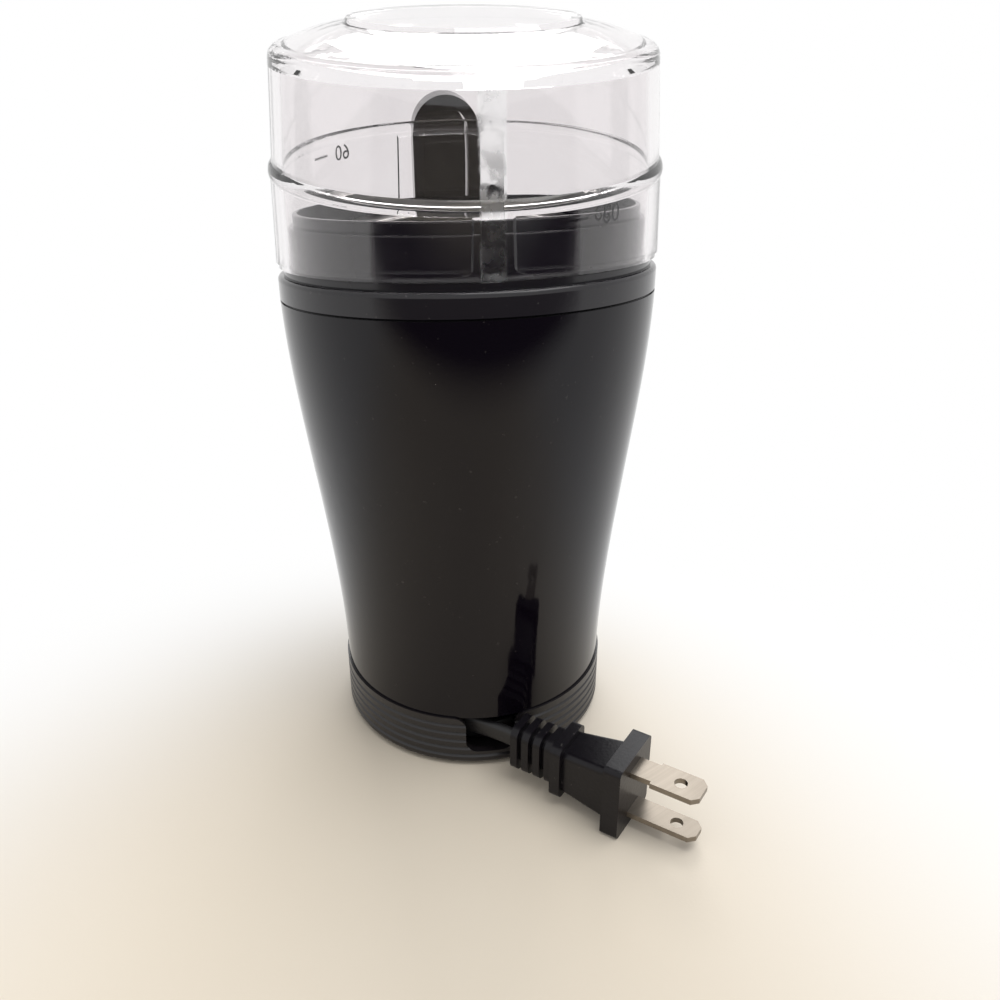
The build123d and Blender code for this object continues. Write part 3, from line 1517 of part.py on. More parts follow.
with BuildPart() as lid_inside:
    with BuildSketch(Plane.XZ):
        with BuildLine():
            wall = Polyline(
                (0, lid_foot),
                (lid_radius - lid_wall, lid_foot),
                (lid_radius - lid_wall - lid_skirt_draft, bead_height),
                (lid_hollow_radius, bead_height),
                (lid_shoulder_radius - lid_wall, lid_shoulder_height - lid_ceiling),
                (lid_dome_radius - lid_wall, lid_shoulder_height + lid_shoulder_rise - lid_wall),
            )
            lid_inner_top = lid_top - lid_disc_rise - lid_wall
            ceiling = ThreePointArc(
                wall @ 1,
                (
                    (lid_dome_radius + lid_disc_radius) / 2 - lid_wall,
                    ((wall @ 1).Y + lid_inner_top) / 2 + lid_dome_swell,
                ),
                (lid_disc_radius - lid_wall, lid_inner_top),
            )
            Polyline(ceiling @ 1, (0, lid_inner_top), (0, lid_foot))
        make_face()
    revolve(axis=Axis.Z)
    # The rib at the back that keys the lid to the neck stays in the wall.
    with BuildSketch(Plane.XY.offset(lid_foot)):
        with Locations((0, rib_face)):
            Rectangle(2 * lid_rib_half, lid_radius, align=(Align.CENTER, Align.MIN))
    extrude(amount=lid_shoulder_height - 2 - lid_foot, mode=Mode.SUBTRACT)

def pad_gap(half, back):
    """The plan of the gap between two pads, with bevelled sides."""
    mouth = sqrt(lid_waist_radius**2 - half**2)
    flare = 4 * pad_proud
    side = [
        (half, lid_radius / 2),
        (half, mouth),
        (half + flare, mouth + flare),
        (half + flare, 1.5 * lid_radius),
    ]
    return [(x, back * y) for x, y in side] + [(-x, back * y) for x, y in reversed(side)]


with BuildPart() as lid_pads:
    with BuildSketch(Plane.XZ):
        with BuildLine():
            Polyline(
                (lid_radius + pad_proud, lid_foot),
                (lid_waist_radius + pad_proud, bead_low + bead_proud),
                (lid_hollow_radius, bead_low + bead_proud),
                (lid_radius - lid_wall / 2, lid_foot),
                (lid_radius + pad_proud, lid_foot),
            )
        make_face()
    revolve(axis=Axis.Z)
    split(bisect_by=tilted(lid_edge + pad_margin), keep=Keep.TOP)
    with BuildSketch(Plane.XY.offset(lid_foot)):
        Polygon(*pad_gap(back_gap_half, 1), align=None)
        Polygon(*pad_gap(front_gap_half, -1), align=None)
    extrude(amount=lid_height, mode=Mode.SUBTRACT)
    # The corners beside the gaps are rounded, at the foot of each pad.
    for back, half in ((1, back_gap_half), (-1, front_gap_half)):
        corner_level = lid_edge + pad_margin + back * slope * lid_radius
        with BuildSketch(Plane.XZ.offset(-2 * back * lid_radius)):
            with Locations((0, corner_level)):
                Rectangle(2 * (half + pad_corner), 2 * pad_corner)
            with Locations(
                (half + pad_corner, corner_level + pad_corner),
                (-half - pad_corner, corner_level + pad_corner),
            ):
                Circle(pad_corner, mode=Mode.SUBTRACT)
        extrude(amount=1.5 * back * lid_radius, mode=Mode.SUBTRACT)

with BuildPart() as lid:
    add(lid_outside.part)
    add(lid_pads.part)
    add(lid_inside.part, mode=Mode.SUBTRACT)
    split(bisect_by=tilted(lid_edge), keep=Keep.TOP)
lid.part.label = "lid"
export_step(lid.part, "parts/lid.step")
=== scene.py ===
import json
import math

import bpy
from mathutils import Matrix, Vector


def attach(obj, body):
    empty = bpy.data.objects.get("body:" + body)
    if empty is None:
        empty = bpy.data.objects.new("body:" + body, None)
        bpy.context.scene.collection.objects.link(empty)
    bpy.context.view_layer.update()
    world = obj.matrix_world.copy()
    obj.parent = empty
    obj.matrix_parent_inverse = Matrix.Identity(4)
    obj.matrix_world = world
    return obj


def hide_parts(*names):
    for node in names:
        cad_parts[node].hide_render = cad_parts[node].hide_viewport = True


# The looks of an electric spice grinder, in metres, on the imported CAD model. The origin is on the
# table under the middle of the base, +Z is up, -Y is the front with the push button, and +Y is the
# back with the cord.

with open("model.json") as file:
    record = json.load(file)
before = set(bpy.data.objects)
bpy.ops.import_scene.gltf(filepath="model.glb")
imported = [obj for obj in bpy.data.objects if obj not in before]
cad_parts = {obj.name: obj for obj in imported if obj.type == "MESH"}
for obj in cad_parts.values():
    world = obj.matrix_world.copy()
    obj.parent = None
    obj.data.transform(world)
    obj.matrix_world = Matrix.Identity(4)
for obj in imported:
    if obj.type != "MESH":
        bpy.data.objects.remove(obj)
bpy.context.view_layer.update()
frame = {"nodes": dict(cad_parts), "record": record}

# ---------------------------------------------------------------- sizes
MM = 0.001

# The camera stands behind the grinder, a little above its lid.
LENS_MM = 39.17
SENSOR_MM = 36.0
CAMERA_PLACE = (0.03005, 0.2490, 0.2003)
CAMERA_FORWARD = (-0.1309, -0.8629, -0.4881)
CAMERA_NEAR = 0.005
CAMERA_FAR = 20.0

# The cord: a flat twin cord that is wound on the hub in the base, in two layers.
CORD_WIDTH = 5.2 * MM
CORD_THICKNESS = 2.7 * MM
CORD_LEVEL = 10.5 * MM
CORD_SMOOTH_ANGLE = 50
CORE_ARC = 80
CORE_STEPS = 8
OUTER_TURN_RADIUS = 27.15 * MM
TURN_PITCH = 3.0 * MM
TURNS_DOWN = 3.0
TURNS_UP = 2.5
TURNS_IN_LAYER = 3
POINTS_A_TURN = 16
STEP_START = 0.8
GLAND_ANGLE = 230
GLAND_RADIUS = 23.2 * MM
GLAND_LEVEL = 26.0 * MM
PLUG_HEADING = 139.8
PLUG_TAIL = Vector((-6.4 * MM, 38.2 * MM, CORD_LEVEL))
TAIL_RUN = 9.0 * MM

# The clear lid's outer side below its bead, where the marks are printed.
LID_FOOT_RADIUS = 44.2 * MM
LID_WAIST_RADIUS = 43.3 * MM
LID_FOOT_LEVEL = 115.4 * MM
LID_WAIST_LEVEL = 145.8 * MM

# The key rib down the lid's back wall.
LID_RIB_HALF = 3.0 * MM
LID_RIB_EDGE = 0.8 * LID_RIB_HALF
LID_RIB_START = 30.0 * MM
LID_RIB_BLEND = 1.0 * MM

# The printed marks. Their angles are counted from the back, in degrees towards +X.
BACK = 90
MARK_HEIGHT = 3.6 * MM
MARK_THICKNESS = 0.03 * MM
MARK_LEVEL = 142.1 * MM
MARK_ANGLE_NEAR = -35
MARK_ANGLE_FAR = 139
DIGIT_SHARE = 0.69
MERGE_DISTANCE = 0.001 * MM
DASH_LENGTH = 5.5 * MM
DASH_WIDTH = 0.5 * MM
DASH_PIECES = 12
DASH_ANGLE_NEAR = MARK_ANGLE_NEAR + 12
DASH_ANGLE_FAR = MARK_ANGLE_FAR - 11

# Surfaces. A bump is as deep as the grain or the rings at their full strength.
PLASTIC_BUMP = 0.05 * MM
METAL_BUMP = 0.03 * MM
METAL_WEAR = 0.12
LID_IOR = 1.5
LID_SMEAR_ROUGHNESS = 0.05
LID_SCUFF_ROUGHNESS = 0.4
DUST_GREY = (0.34, 0.32, 0.30, 1)
LID_TINT = (0.905, 0.882, 0.888, 1)
LID_SMEAR_TINT = (0.885, 0.86, 0.868, 1)
WHITE = (1, 1, 1, 1)

# The table top is cream where it runs on behind the grinder, and turns white round to its front, partly
# into the white background and partly as painted light: how soon it turns white round the grinder's
# foot stands in for the falloff of its soft shadow. The white comes a little nearer on the -X side, a
# painted brighter side.
TABLE_RADIUS = 4.0
TABLE_CORNERS = 96
TABLE_ROUGHNESS = 0.85
TABLE_WEAVE = 0.1 * MM
TABLE_CREAM = (0.75, 0.66, 0.535, 1)
TABLE_LIGHT_CREAM = (0.81, 0.735, 0.62, 1)
TABLE_PALE = (0.93, 0.925, 0.91, 1)
CREAM_REACH = 0.0
WHITE_REACH = 0.17
PAINTED_LIGHT_SIDE = -0.28

# A painted reflection: gloss sees a dark patch on the table at the back, which stands in for the dark
# room and shadow behind the camera. It darkens between START and END along +Y, inside a wedge about a
# line that leans aside by SHIFT. Farther off it lightens again by FADE.
PAINTED_REFLECTION_COLOUR = (0.05, 0.042, 0.06, 1)
DARK_START = 0.17
DARK_END = 0.30
DARK_SHIFT = 0.12
DARK_SPREAD = 1.6
DARK_SOFTNESS = 0.22
DARK_FADE_START = 0.50
DARK_FADE_END = 0.75
DARK_FADE = 0.55

# Light.
ROOM_LIGHT = 0.55
LIT_POINT = (0, 0, 0.08)
MOST_BOUNCES = 28
GLOSSY_BOUNCES = 14
CLEAR_BOUNCES = 20


# ---------------------------------------------------------------- helpers
def around(radius, angle, height=0.0):
    """The point on a circle about the axis, at this angle in degrees from +X."""
    turn = math.radians(angle)
    return Vector((radius * math.cos(turn), radius * math.sin(turn), height))


def deselect_all():
    """Leaves nothing selected."""
    for thing in list(bpy.context.selected_objects):
        thing.select_set(False)


def only(piece):
    """Selects this object alone and makes it the active one."""
    deselect_all()
    piece.select_set(True)
    bpy.context.view_layer.objects.active = piece


# ---------------------------------------------------------------- camera
def make_camera():
    """The camera behind the grinder, looking down on it."""
    bpy.ops.object.camera_add(location=CAMERA_PLACE)
    camera = bpy.context.object
    camera.name = "camera"
    camera.rotation_mode = "QUATERNION"
    camera.rotation_quaternion = Vector(CAMERA_FORWARD).to_track_quat("-Z", "Y")
    camera.data.lens = LENS_MM
    camera.data.sensor_width = SENSOR_MM
    camera.data.sensor_fit = "HORIZONTAL"
    camera.data.clip_start = CAMERA_NEAR
    camera.data.clip_end = CAMERA_FAR
    bpy.context.scene.camera = camera


# ---------------------------------------------------------------- cord
def stepped(turn):
    """How many turns further in a winding lies: whole numbers, with a short slope between them."""
    whole = math.floor(turn)
    slope = max(0.0, (turn - whole - STEP_START) / (1 - STEP_START))
    return whole + slope * slope * (3 - 2 * slope)


def cord_route():
    """Down through the gland, inwards on the lower layer, outwards on the upper one, and out."""
    lower_level = CORD_LEVEL - CORD_WIDTH
    points = [
        around(GLAND_RADIUS, GLAND_ANGLE, GLAND_LEVEL),
        around(GLAND_RADIUS, GLAND_ANGLE - 1, GLAND_LEVEL - 8 * MM),
        around(GLAND_RADIUS + 1 * MM, GLAND_ANGLE + 4, CORD_LEVEL + 3 * MM),
    ]
    for step in range(1, int(TURNS_DOWN * POINTS_A_TURN) + 1):
        turn = step / POINTS_A_TURN
        radius = OUTER_TURN_RADIUS - TURN_PITCH * min(stepped(turn), TURNS_IN_LAYER - 1)
        points.append(around(radius, GLAND_ANGLE + 360 * turn, lower_level))
    for step in range(2, int(TURNS_UP * POINTS_A_TURN) + 1):
        turn = step / POINTS_A_TURN
        radius = OUTER_TURN_RADIUS - TURN_PITCH * (TURNS_IN_LAYER - 1 - stepped(turn))
        points.append(around(radius, GLAND_ANGLE + 360 * (TURNS_DOWN + turn), CORD_LEVEL))
    heading = around(1, PLUG_HEADING)
    leaving = around(OUTER_TURN_RADIUS, PLUG_HEADING - 90, CORD_LEVEL)
    points += [
        leaving,
        leaving + heading * TAIL_RUN,
        PLUG_TAIL - heading * TAIL_RUN,
        PLUG_TAIL,
    ]
    return points


def cord_profile():
    """The section of a flat twin cord: two round cores side by side, upright."""
    data = bpy.data.curves.new("cord_section", "CURVE")
    data.dimensions = "2D"
    spline = data.splines.new("POLY")
    core_radius = CORD_THICKNESS / 2
    core_offset = CORD_WIDTH / 2 - core_radius
    corners = []
    for side in (1, -1):
        for step in range(CORE_STEPS + 1):
            turn = math.radians(2 * CORE_ARC * step / CORE_STEPS - CORE_ARC)
            across = core_radius * math.sin(turn)
            along = core_offset + core_radius * math.cos(turn)
            corners.append((side * across, side * along, 0, 1))
    spline.points.add(len(corners) - 1)
    for point, corner in zip(spline.points, corners):
        point.co = corner
    spline.use_cyclic_u = True
    section = bpy.data.objects.new("cord_section", data)
    bpy.context.scene.collection.objects.link(section)
    return section


def make_cord(black_cord):
    """The whole cord as one tube along a smooth curve, wound on the hub and out to the plug."""
    data = bpy.data.curves.new("mains_cord", "CURVE")
    data.dimensions = "3D"
    spline = data.splines.new("NURBS")
    route = cord_route()
    spline.points.add(len(route) - 1)
    for point, place in zip(spline.points, route):
        point.co = (*place, 1)
    spline.order_u = 3
    spline.use_endpoint_u = True
    data.resolution_u = 5
    cord = bpy.data.objects.new("mains_cord", data)
    bpy.context.scene.collection.objects.link(cord)
    bare = bpy.data.meshes.new_from_object(cord)
    line = [tuple(vertex.co) for vertex in bare.vertices]
    bpy.data.meshes.remove(bare)
    section = cord_profile()
    data.twist_mode = "Z_UP"
    data.bevel_mode = "OBJECT"
    data.bevel_object = section
    data.use_fill_caps = True
    only(cord)
    bpy.ops.object.convert(target="MESH")
    bpy.ops.object.shade_smooth_by_angle(angle=math.radians(CORD_SMOOTH_ANGLE))
    bpy.data.objects.remove(section)
    cord.data.materials.clear()
    cord.data.materials.append(black_cord)
    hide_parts("cord_coil", "cord_lead_in", "cord_tail")
    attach(cord, "housing")
    return cord, line


# ---------------------------------------------------------------- marks on the lid
def lid_side(level):
    """The lid's outer radius at a level below its bead."""
    share = (level - LID_FOOT_LEVEL) / (LID_WAIST_LEVEL - LID_FOOT_LEVEL)
    return LID_FOOT_RADIUS + share * (LID_WAIST_RADIUS - LID_FOOT_RADIUS)


def wrap_on_lid(mark, angle, level, ink):
    """Lays a flat mark round the lid's side, with its middle at this angle from +X."""
    for vertex in mark.data.vertices:
        along, up, out = vertex.co
        height = level + up
        radius = lid_side(height) + 2 * MARK_THICKNESS + out
        vertex.co = around(radius, angle + math.degrees(along / radius), height)
    mark.data.materials.clear()
    mark.data.materials.append(ink)
    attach(mark, "lid")


def add_number(name, digits, angle, ink):
    """Plain printed digits that read from outside the lid."""
    bpy.ops.object.text_add(location=(0, 0, 0))
    number = bpy.context.object
    number.name = name
    number.data.body = digits
    number.data.size = MARK_HEIGHT / DIGIT_SHARE
    number.data.align_x = "CENTER"
    number.data.extrude = MARK_THICKNESS
    number.data.resolution_u = 4
    only(number)
    bpy.ops.object.convert(target="MESH")
    bpy.ops.object.mode_set(mode="EDIT")
    bpy.ops.mesh.select_all(action="SELECT")
    bpy.ops.mesh.remove_doubles(threshold=MERGE_DISTANCE)
    bpy.ops.mesh.subdivide(number_cuts=1)
    bpy.ops.mesh.normals_make_consistent(inside=False)
    bpy.ops.object.mode_set(mode="OBJECT")
    wrap_on_lid(number, angle, MARK_LEVEL, ink)


def add_dash(name, angle, ink):
    """A short level line beside a number's middle, which shows where to fill to."""
    bpy.ops.mesh.primitive_grid_add(x_subdivisions=DASH_PIECES, y_subdivisions=1, size=1)
    dash = bpy.context.object
    dash.name = name
    only(dash)
    bpy.ops.object.mode_set(mode="EDIT")
    bpy.ops.mesh.select_all(action="SELECT")
    bpy.ops.transform.resize(value=(DASH_LENGTH, DASH_WIDTH, 1))
    bpy.ops.mesh.extrude_region_move(TRANSFORM_OT_translate={"value": (0, 0, MARK_THICKNESS)})
    bpy.ops.mesh.select_all(action="SELECT")
    bpy.ops.mesh.normals_make_consistent(inside=False)
    bpy.ops.object.mode_set(mode="OBJECT")
    wrap_on_lid(dash, angle, MARK_LEVEL + MARK_HEIGHT / 2, ink)


def add_marks(ink):
    """The fill marks: a number and a dash on each side of the lid."""
    for side, number_angle, dash_angle in (
        ("right", MARK_ANGLE_NEAR, DASH_ANGLE_NEAR),
        ("left", MARK_ANGLE_FAR, DASH_ANGLE_FAR),
    ):
        add_number(f"mark_number_{side}", "60", BACK - number_angle, ink)
        add_dash(f"mark_dash_{side}", BACK - dash_angle, ink)


# ---------------------------------------------------------------- shader helpers
def new_material(name):
    """A new material, its node tree and its shader."""
    material = bpy.data.materials.new(name)
    material.use_nodes = True
    tree = material.node_tree
    return material, tree, tree.nodes["Principled BSDF"]


def add_node(tree, kind, values=None, **settings):
    """A new node with these input values and settings."""
    made = tree.nodes.new(kind)
    for name, value in settings.items():
        setattr(made, name, value)
    for name, value in (values or {}).items():
        made.inputs[name].default_value = value
    return made


def object_place(tree):
    """The place on the object, and the same split into X, Y and Z."""
    place = add_node(tree, "ShaderNodeTexCoord").outputs["Object"]
    split = add_node(tree, "ShaderNodeSeparateXYZ")
    tree.links.new(place, split.inputs[0])
    return place, split


def noise(tree, place, **values):
    """A noise texture that reads this place."""
    texture = add_node(tree, "ShaderNodeTexNoise", values)
    tree.links.new(place, texture.inputs["Vector"])
    return texture


def mixed_colour(tree, factor, first, second):
    """A colour between two, each a colour or a socket, by a factor socket."""
    mix = add_node(tree, "ShaderNodeMix", data_type="RGBA")
    tree.links.new(factor, mix.inputs[0])
    for socket, colour in ((mix.inputs[6], first), (mix.inputs[7], second)):
        if isinstance(colour, bpy.types.NodeSocket):
            tree.links.new(colour, socket)
        else:
            socket.default_value = colour
    return mix.outputs[2]


def mixed_shader(tree, factor, first, second):
    """A shader between two, by a factor socket."""
    mix = add_node(tree, "ShaderNodeMixShader")
    for socket, source in zip(mix.inputs, (factor, first, second)):
        tree.links.new(source, socket)
    return mix.outputs[0]


def calculated(tree, operation, first, second=0.0, clamp=False):
    """The result of a sum on one or two numbers, each a value or a socket."""
    sum_node = add_node(tree, "ShaderNodeMath", operation=operation, use_clamp=clamp)
    for socket, number in zip(sum_node.inputs, (first, second)):
        if isinstance(number, bpy.types.NodeSocket):
            tree.links.new(number, socket)
        else:
            socket.default_value = number
    return sum_node.outputs[0]


def ramped(tree, socket, low, high):
    """0 below low, 1 above high and a smooth rise between them."""
    ramp = add_node(
        tree,
        "ShaderNodeMapRange",
        {"From Min": low, "From Max": high},
        interpolation_type="SMOOTHSTEP",
    )
    tree.links.new(socket, ramp.inputs["Value"])
    return ramp.outputs["Result"]


def seen_rays(tree):
    """1 for what the eye, gloss and clear plastic see, and 0 for light that falls on the object."""
    rays = add_node(tree, "ShaderNodeLightPath")
    seen = calculated(tree, "MAXIMUM", rays.outputs["Is Camera Ray"], rays.outputs["Is Glossy Ray"])
    return calculated(tree, "MAXIMUM", seen, rays.outputs["Is Transmission Ray"])


# ---------------------------------------------------------------- surfaces that finishes share
def new_group(name, numbers, colours):
    """A node group with colour and number inputs and three outputs, with its start and end."""
    group = bpy.data.node_groups.new(name, "ShaderNodeTree")
    for label in colours:
        group.interface.new_socket(label, in_out="INPUT", socket_type="NodeSocketColor")
    for label in numbers:
        group.interface.new_socket(label, in_out="INPUT", socket_type="NodeSocketFloat")
    group.interface.new_socket("Color", in_out="OUTPUT", socket_type="NodeSocketColor")
    group.interface.new_socket("Roughness", in_out="OUTPUT", socket_type="NodeSocketFloat")
    group.interface.new_socket("Height", in_out="OUTPUT", socket_type="NodeSocketFloat")
    return group, group.nodes.new("NodeGroupInput"), group.nodes.new("NodeGroupOutput")


def moulded_surface():
    """Moulded plastic or rubber: a fine grain, faint smudges and a few dust specks."""
    group, start, end = new_group(
        "moulded_surface",
        ("Grain Scale", "Roughness", "Smudge", "Dust", "Grain"),
        ("Color",),
    )
    place, _ = object_place(group)
    grain = noise(group, place, Detail=3.0)
    group.links.new(start.outputs["Grain Scale"], grain.inputs["Scale"])
    smear = noise(group, place, Scale=38.0, Detail=4.0, Distortion=1.2)
    specks = noise(group, place, Scale=900.0, Detail=1.0)
    smear_mask = ramped(group, smear.outputs["Fac"], 0.42, 0.72)
    speck_mask = ramped(group, specks.outputs["Fac"], 0.74, 0.80)
    dust = calculated(group, "MULTIPLY", speck_mask, start.outputs["Dust"])
    dusty = mixed_colour(group, dust, start.outputs["Color"], DUST_GREY)
    group.links.new(dusty, end.inputs["Color"])
    smudged = calculated(group, "MULTIPLY", smear_mask, start.outputs["Smudge"])
    rough = calculated(group, "ADD", start.outputs["Roughness"], smudged)
    rough = calculated(group, "ADD", rough, dust, clamp=True)
    group.links.new(rough, end.inputs["Roughness"])
    height = calculated(group, "MULTIPLY", grain.outputs["Fac"], start.outputs["Grain"])
    group.links.new(height, end.inputs["Height"])
    return group


def turned_surface():
    """Metal that was turned or drawn about the upright axis: fine rings and a little spread of tone."""
    group, start, end = new_group(
        "turned_surface",
        ("Ring Scale", "Roughness", "Spread", "Depth"),
        ("Color", "Shade"),
    )
    place, split = object_place(group)
    squares = calculated(
        group,
        "ADD",
        calculated(group, "MULTIPLY", split.outputs["X"], split.outputs["X"]),
        calculated(group, "MULTIPLY", split.outputs["Y"], split.outputs["Y"]),
    )
    distance = calculated(group, "POWER", squares, 0.5)
    ring_place = add_node(group, "ShaderNodeCombineXYZ")
    group.links.new(distance, ring_place.inputs["X"])
    group.links.new(split.outputs["Z"], ring_place.inputs["Y"])
    rings = noise(group, ring_place.outputs[0], Detail=6.0, Roughness=0.7)
    group.links.new(start.outputs["Ring Scale"], rings.inputs["Scale"])
    blotch = noise(group, place, Scale=60.0, Detail=3.0)
    tone = calculated(group, "MULTIPLY", rings.outputs["Fac"], start.outputs["Spread"])
    shaded = mixed_colour(group, tone, start.outputs["Color"], start.outputs["Shade"])
    group.links.new(shaded, end.inputs["Color"])
    worn = calculated(group, "MULTIPLY", blotch.outputs["Fac"], METAL_WEAR)
    rough = calculated(group, "ADD", start.outputs["Roughness"], worn, clamp=True)
    group.links.new(rough, end.inputs["Roughness"])
    height = calculated(group, "MULTIPLY", rings.outputs["Fac"], start.outputs["Depth"])
    group.links.new(height, end.inputs["Height"])
    return group


def finish_of(name, group, values, bump_distance, **sockets):
    """A material whose colour, roughness and bump come from a group, with plain values beside them."""
    material, tree, shader = new_material(name)
    surface = tree.nodes.new("ShaderNodeGroup")
    surface.node_tree = group
    for label, value in values.items():
        surface.inputs[label].default_value = value
    bump = add_node(tree, "ShaderNodeBump", {"Strength": 1.0, "Distance": bump_distance})
    tree.links.new(surface.outputs["Height"], bump.inputs["Height"])
    tree.links.new(surface.outputs["Color"], shader.inputs["Base Color"])
    tree.links.new(surface.outputs["Roughness"], shader.inputs["Roughness"])
    tree.links.new(bump.outputs["Normal"], shader.inputs["Normal"])
    for label, value in sockets.items():
        shader.inputs[label].default_value = value
    return material


def plastic(name, colour, roughness, grain=0.5, smudge=0.04, dust=0.1, **sockets):
    """A moulded plastic or rubber."""
    values = {
        "Color": (*colour, 1),
        "Grain Scale": 900.0,
        "Roughness": roughness,
        "Smudge": smudge,
        "Dust": dust,
        "Grain": grain,
    }
    return finish_of(name, MOULDED, values, PLASTIC_BUMP, **sockets)


def metal(name, colour, shade, roughness, ring_scale=4000.0, spread=0.6, depth=0.4):
    """A turned, drawn or plated metal."""
    values = {
        "Color": (*colour, 1),
        "Shade": (*shade, 1),
        "Ring Scale": ring_scale,
        "Roughness": roughness,
        "Spread": spread,
        "Depth": depth,
    }
    return finish_of(name, TURNED, values, METAL_BUMP, Metallic=1.0)


# ---------------------------------------------------------------- finishes
def clear_lid():
    """Clear rigid plastic with a faint tint, a few smudges from handling and a scuffed key rib."""
    material, tree, shader = new_material("clear_lid")
    shader.inputs["Transmission Weight"].default_value = 1.0
    shader.inputs["IOR"].default_value = LID_IOR
    shader.inputs["Metallic"].default_value = 0.0
    place, split = object_place(tree)
    smear = noise(tree, place, Scale=46.0, Detail=5.0, Distortion=0.8)
    smear_mask = ramped(tree, smear.outputs["Fac"], 0.5, 0.8)
    smudged = calculated(tree, "MULTIPLY", smear_mask, LID_SMEAR_ROUGHNESS)

    # The rib is scuffed where it slides in the neck.
    aside = calculated(tree, "ABSOLUTE", split.outputs["X"])
    beyond_rib = ramped(tree, aside, LID_RIB_EDGE, LID_RIB_HALF)
    at_back = ramped(tree, split.outputs["Y"], LID_RIB_START, LID_RIB_START + LID_RIB_BLEND)
    rib = calculated(tree, "SUBTRACT", 1.0, beyond_rib)
    rib = calculated(tree, "MULTIPLY", rib, at_back)
    scuffs = noise(tree, place, Scale=260.0, Detail=4.0)
    scuffed = calculated(tree, "MULTIPLY", ramped(tree, scuffs.outputs["Fac"], 0.35, 0.7), rib)
    scuffed = calculated(tree, "MULTIPLY", scuffed, LID_SCUFF_ROUGHNESS)

    tree.links.new(calculated(tree, "ADD", smudged, scuffed), shader.inputs["Roughness"])
    tint = mixed_colour(tree, smear_mask, LID_TINT, LID_SMEAR_TINT)
    tree.links.new(mixed_colour(tree, rib, tint, WHITE), shader.inputs["Base Color"])
    return material


def plastic_finishes():
    """The moulded plastics and rubbers, by material slot."""
    return {
        "body_plastic": plastic(
            "body_black", (0.0036, 0.0025, 0.005), 0.07, grain=0.1, dust=0.06, IOR=1.36
        ),
        "base_plastic": plastic(
            "base_satin", (0.011, 0.0092, 0.0105), 0.3, grain=0.6, smudge=0.08
        ),
        "neck_plastic": plastic("neck_black", (0.0145, 0.0132, 0.0165), 0.11, grain=0.2, IOR=1.45),
        "button_plastic": plastic("button_black", (0.022, 0.022, 0.024), 0.16, grain=0.15),
        "inner_plastic": plastic("inner_grey", (0.075, 0.075, 0.078), 0.5, grain=1.0),
        "white_nylon": plastic("nylon", (0.72, 0.70, 0.63), 0.42, grain=0.8),
        "foot_rubber": plastic("foot_rubber", (0.03, 0.03, 0.03), 0.75, grain=1.5),
        "seal_rubber": plastic("seal_rubber", (0.12, 0.115, 0.115), 0.62, grain=1.2),
        "carbon": plastic("carbon", (0.035, 0.035, 0.038), 0.55, grain=1.6),
        "cord_pvc": plastic("cord_black", (0.009, 0.0085, 0.0095), 0.42, grain=0.9),
        "plug_pvc": plastic(
            "plug_black", (0.0055, 0.0045, 0.0065), 0.3, grain=0.9, dust=0.12, IOR=1.34
        ),
        "live_sleeve": plastic("black_sleeve", (0.03, 0.028, 0.028), 0.4),
        "neutral_sleeve": plastic("white_sleeve", (0.75, 0.75, 0.72), 0.4),
    }


def metal_finishes():
    """The metals, by material slot: a colour, its shade between the rings, and a roughness."""
    return {
        "bowl_steel": metal("bowl_steel", (0.60, 0.59, 0.57), (0.42, 0.41, 0.40), 0.24),
        "blade_steel": metal("blade_steel", (0.66, 0.655, 0.65), (0.48, 0.48, 0.47), 0.2),
        "shaft_steel": metal("shaft_steel", (0.56, 0.56, 0.56), (0.40, 0.40, 0.40), 0.22),
        "screw_steel": metal("screw_steel", (0.50, 0.49, 0.46), (0.36, 0.36, 0.34), 0.34),
        "lamination_steel": metal(
            "laminations",
            (0.30, 0.30, 0.31),
            (0.12, 0.12, 0.13),
            0.42,
            ring_scale=9000.0,
            spread=1.0,
            depth=1.0,
        ),
        "bracket_steel": metal(
            "bracket_steel", (0.55, 0.56, 0.57), (0.40, 0.41, 0.43), 0.38, ring_scale=300.0
        ),
        "copper_winding": metal(
            "copper_wire",
            (0.60, 0.26, 0.12),
            (0.32, 0.12, 0.05),
            0.3,
            ring_scale=5200.0,
            spread=1.0,
            depth=1.6,
        ),
        "contact_brass": metal("brass", (0.70, 0.52, 0.25), (0.52, 0.37, 0.16), 0.28),
        "plated_blade": metal(
            "nickel_plate",
            (0.34, 0.30, 0.255),
            (0.15, 0.13, 0.105),
            0.29,
            ring_scale=700.0,
            spread=0.9,
        ),
    }


# ---------------------------------------------------------------- table, light and world
def whiteness(tree, place, split):
    """How far the table has turned from cream, 0, to white, 1: partly the white background and partly
    painted light, paler away from the grinder's foot and on the -X side.
    """
    span = add_node(tree, "ShaderNodeVectorMath", operation="LENGTH")
    tree.links.new(place, span.inputs[0])
    reach = calculated(tree, "SUBTRACT", span.outputs["Value"], split.outputs["Y"])
    # Painted light: the -X side of the table is made paler, as if it were lit more brightly.
    aside = calculated(tree, "MULTIPLY", split.outputs["X"], PAINTED_LIGHT_SIDE)
    reach = calculated(tree, "ADD", reach, aside)
    return ramped(tree, reach, CREAM_REACH, WHITE_REACH)


def dress_table(tree, matte, place, white_share):
    """A cloudy cream that turns pale, with a fine weave, on the table's matte shader."""
    matte.inputs["Roughness"].default_value = TABLE_ROUGHNESS
    cloud = noise(tree, place, Scale=9.0, Detail=6.0)
    cream = mixed_colour(tree, cloud.outputs["Fac"], TABLE_CREAM, TABLE_LIGHT_CREAM)
    pale = mixed_colour(tree, white_share, cream, TABLE_PALE)
    tree.links.new(pale, matte.inputs["Base Color"])
    weave = noise(tree, place, Scale=1400.0, Detail=2.0)
    bump = add_node(tree, "ShaderNodeBump", {"Strength": 0.25, "Distance": TABLE_WEAVE})
    tree.links.new(weave.outputs["Fac"], bump.inputs["Height"])
    tree.links.new(bump.outputs["Normal"], matte.inputs["Normal"])


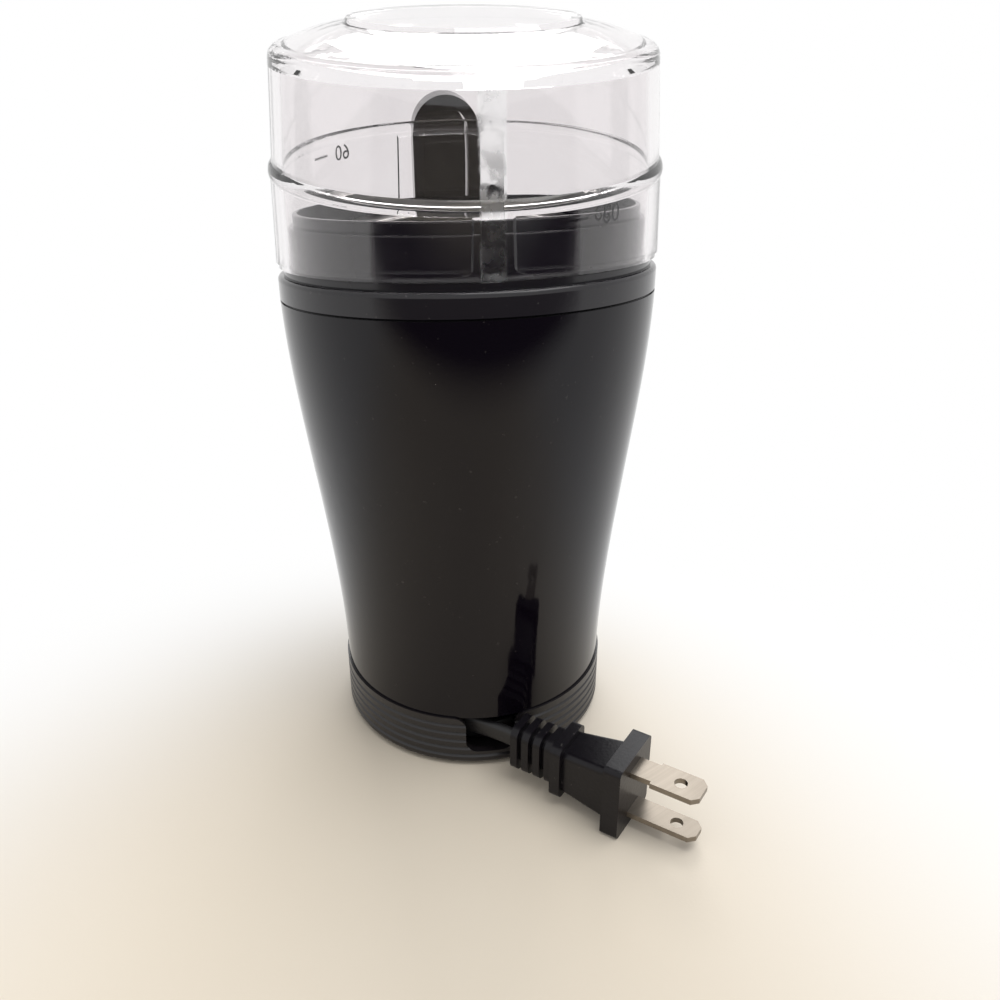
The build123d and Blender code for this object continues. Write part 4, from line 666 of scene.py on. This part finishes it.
def painted_reflection_share(tree, split):
    """How much of a painted dark reflection the table shows in gloss: a dark patch at the back, for a
    dark room behind the camera that the scene does not have.
    """
    edge = ramped(tree, split.outputs["Y"], DARK_START, DARK_END)
    lean = calculated(tree, "DIVIDE", split.outputs["X"], split.outputs["Y"])
    lean = calculated(tree, "SUBTRACT", lean, DARK_SHIFT)
    lean = calculated(tree, "ABSOLUTE", lean)
    outside = ramped(tree, lean, DARK_SPREAD, DARK_SPREAD + DARK_SOFTNESS)
    inside = calculated(tree, "SUBTRACT", 1.0, outside)
    faded = ramped(tree, split.outputs["Y"], DARK_FADE_START, DARK_FADE_END)
    faded = calculated(tree, "MULTIPLY", faded, DARK_FADE)
    unfaded = calculated(tree, "SUBTRACT", 1.0, faded)
    rays = add_node(tree, "ShaderNodeLightPath")
    for share in (inside, unfaded, rays.outputs["Is Glossy Ray"]):
        edge = calculated(tree, "MULTIPLY", edge, share)
    return edge


def make_table():
    """A pale matte table top that runs on into a white background."""
    bpy.ops.mesh.primitive_circle_add(
        vertices=TABLE_CORNERS, radius=TABLE_RADIUS, fill_type="NGON", location=(0, 0, 0)
    )
    table = bpy.context.object
    table.name = "table_top"
    material, tree, matte = new_material("table_top")
    place, split = object_place(tree)
    white_share = whiteness(tree, place, split)
    dress_table(tree, matte, place, white_share)
    white = add_node(tree, "ShaderNodeEmission", {"Color": WHITE, "Strength": 1.0})
    # A dark emission that only gloss sees: a painted reflection of a dark room behind the camera.
    dark = add_node(tree, "ShaderNodeEmission", {"Color": PAINTED_REFLECTION_COLOUR, "Strength": 1.0})
    white_seen = calculated(tree, "MULTIPLY", white_share, seen_rays(tree))
    look = mixed_shader(tree, white_seen, matte.outputs[0], white.outputs[0])
    look = mixed_shader(tree, painted_reflection_share(tree, split), look, dark.outputs[0])
    tree.links.new(look, tree.nodes["Material Output"].inputs["Surface"])
    table.data.materials.append(material)


def make_world():
    """A white room: white to the eye and in gloss and glass, and a softer light on the object."""
    world = bpy.data.worlds.new("white_room")
    bpy.context.scene.world = world
    world.use_nodes = True
    tree = world.node_tree
    room = tree.nodes["Background"]
    room.inputs["Color"].default_value = WHITE
    strength = calculated(tree, "MULTIPLY", seen_rays(tree), 1 - ROOM_LIGHT)
    strength = calculated(tree, "ADD", strength, ROOM_LIGHT)
    tree.links.new(strength, room.inputs["Strength"])


def add_lamp(name, place, size, power):
    """A square soft light that shines at the grinder."""
    bpy.ops.object.light_add(type="AREA", location=place)
    lamp = bpy.context.object
    lamp.name = name
    lamp.data.size = size
    lamp.data.energy = power
    aim = Vector(LIT_POINT) - Vector(place)
    lamp.rotation_mode = "QUATERNION"
    lamp.rotation_quaternion = aim.to_track_quat("-Z", "Y")


def make_lights():
    """A wide lamp overhead on the -X side, and one in front that brightens the lid."""
    add_lamp("overhead_light", place=(-0.30, 0.10, 1.05), size=0.8, power=6.5)
    add_lamp("lid_light", place=(-0.10, -0.75, 0.80), size=0.6, power=4.0)


# ---------------------------------------------------------------- the scene
bpy.context.scene.view_settings.view_transform = "Standard"
# The clear lid passes light on inside its own wall, so its edges need more bounces than most.
bpy.context.scene.cycles.max_bounces = MOST_BOUNCES
bpy.context.scene.cycles.glossy_bounces = GLOSSY_BOUNCES
bpy.context.scene.cycles.transmission_bounces = CLEAR_BOUNCES
deselect_all()
MOULDED = moulded_surface()
TURNED = turned_surface()
FINISHES = {"lid_plastic": clear_lid(), **plastic_finishes(), **metal_finishes()}

make_camera()
cord, cord_line = make_cord(FINISHES["cord_pvc"])

slot_of = {part["node"]: part["material_slot"] for part in frame["record"]["subparts"]}
for node_name, node in frame["nodes"].items():
    node.data.materials.clear()
    node.data.materials.append(FINISHES[slot_of[node_name]])

add_marks(FINISHES["neck_plastic"])
make_table()
make_world()
make_lights()
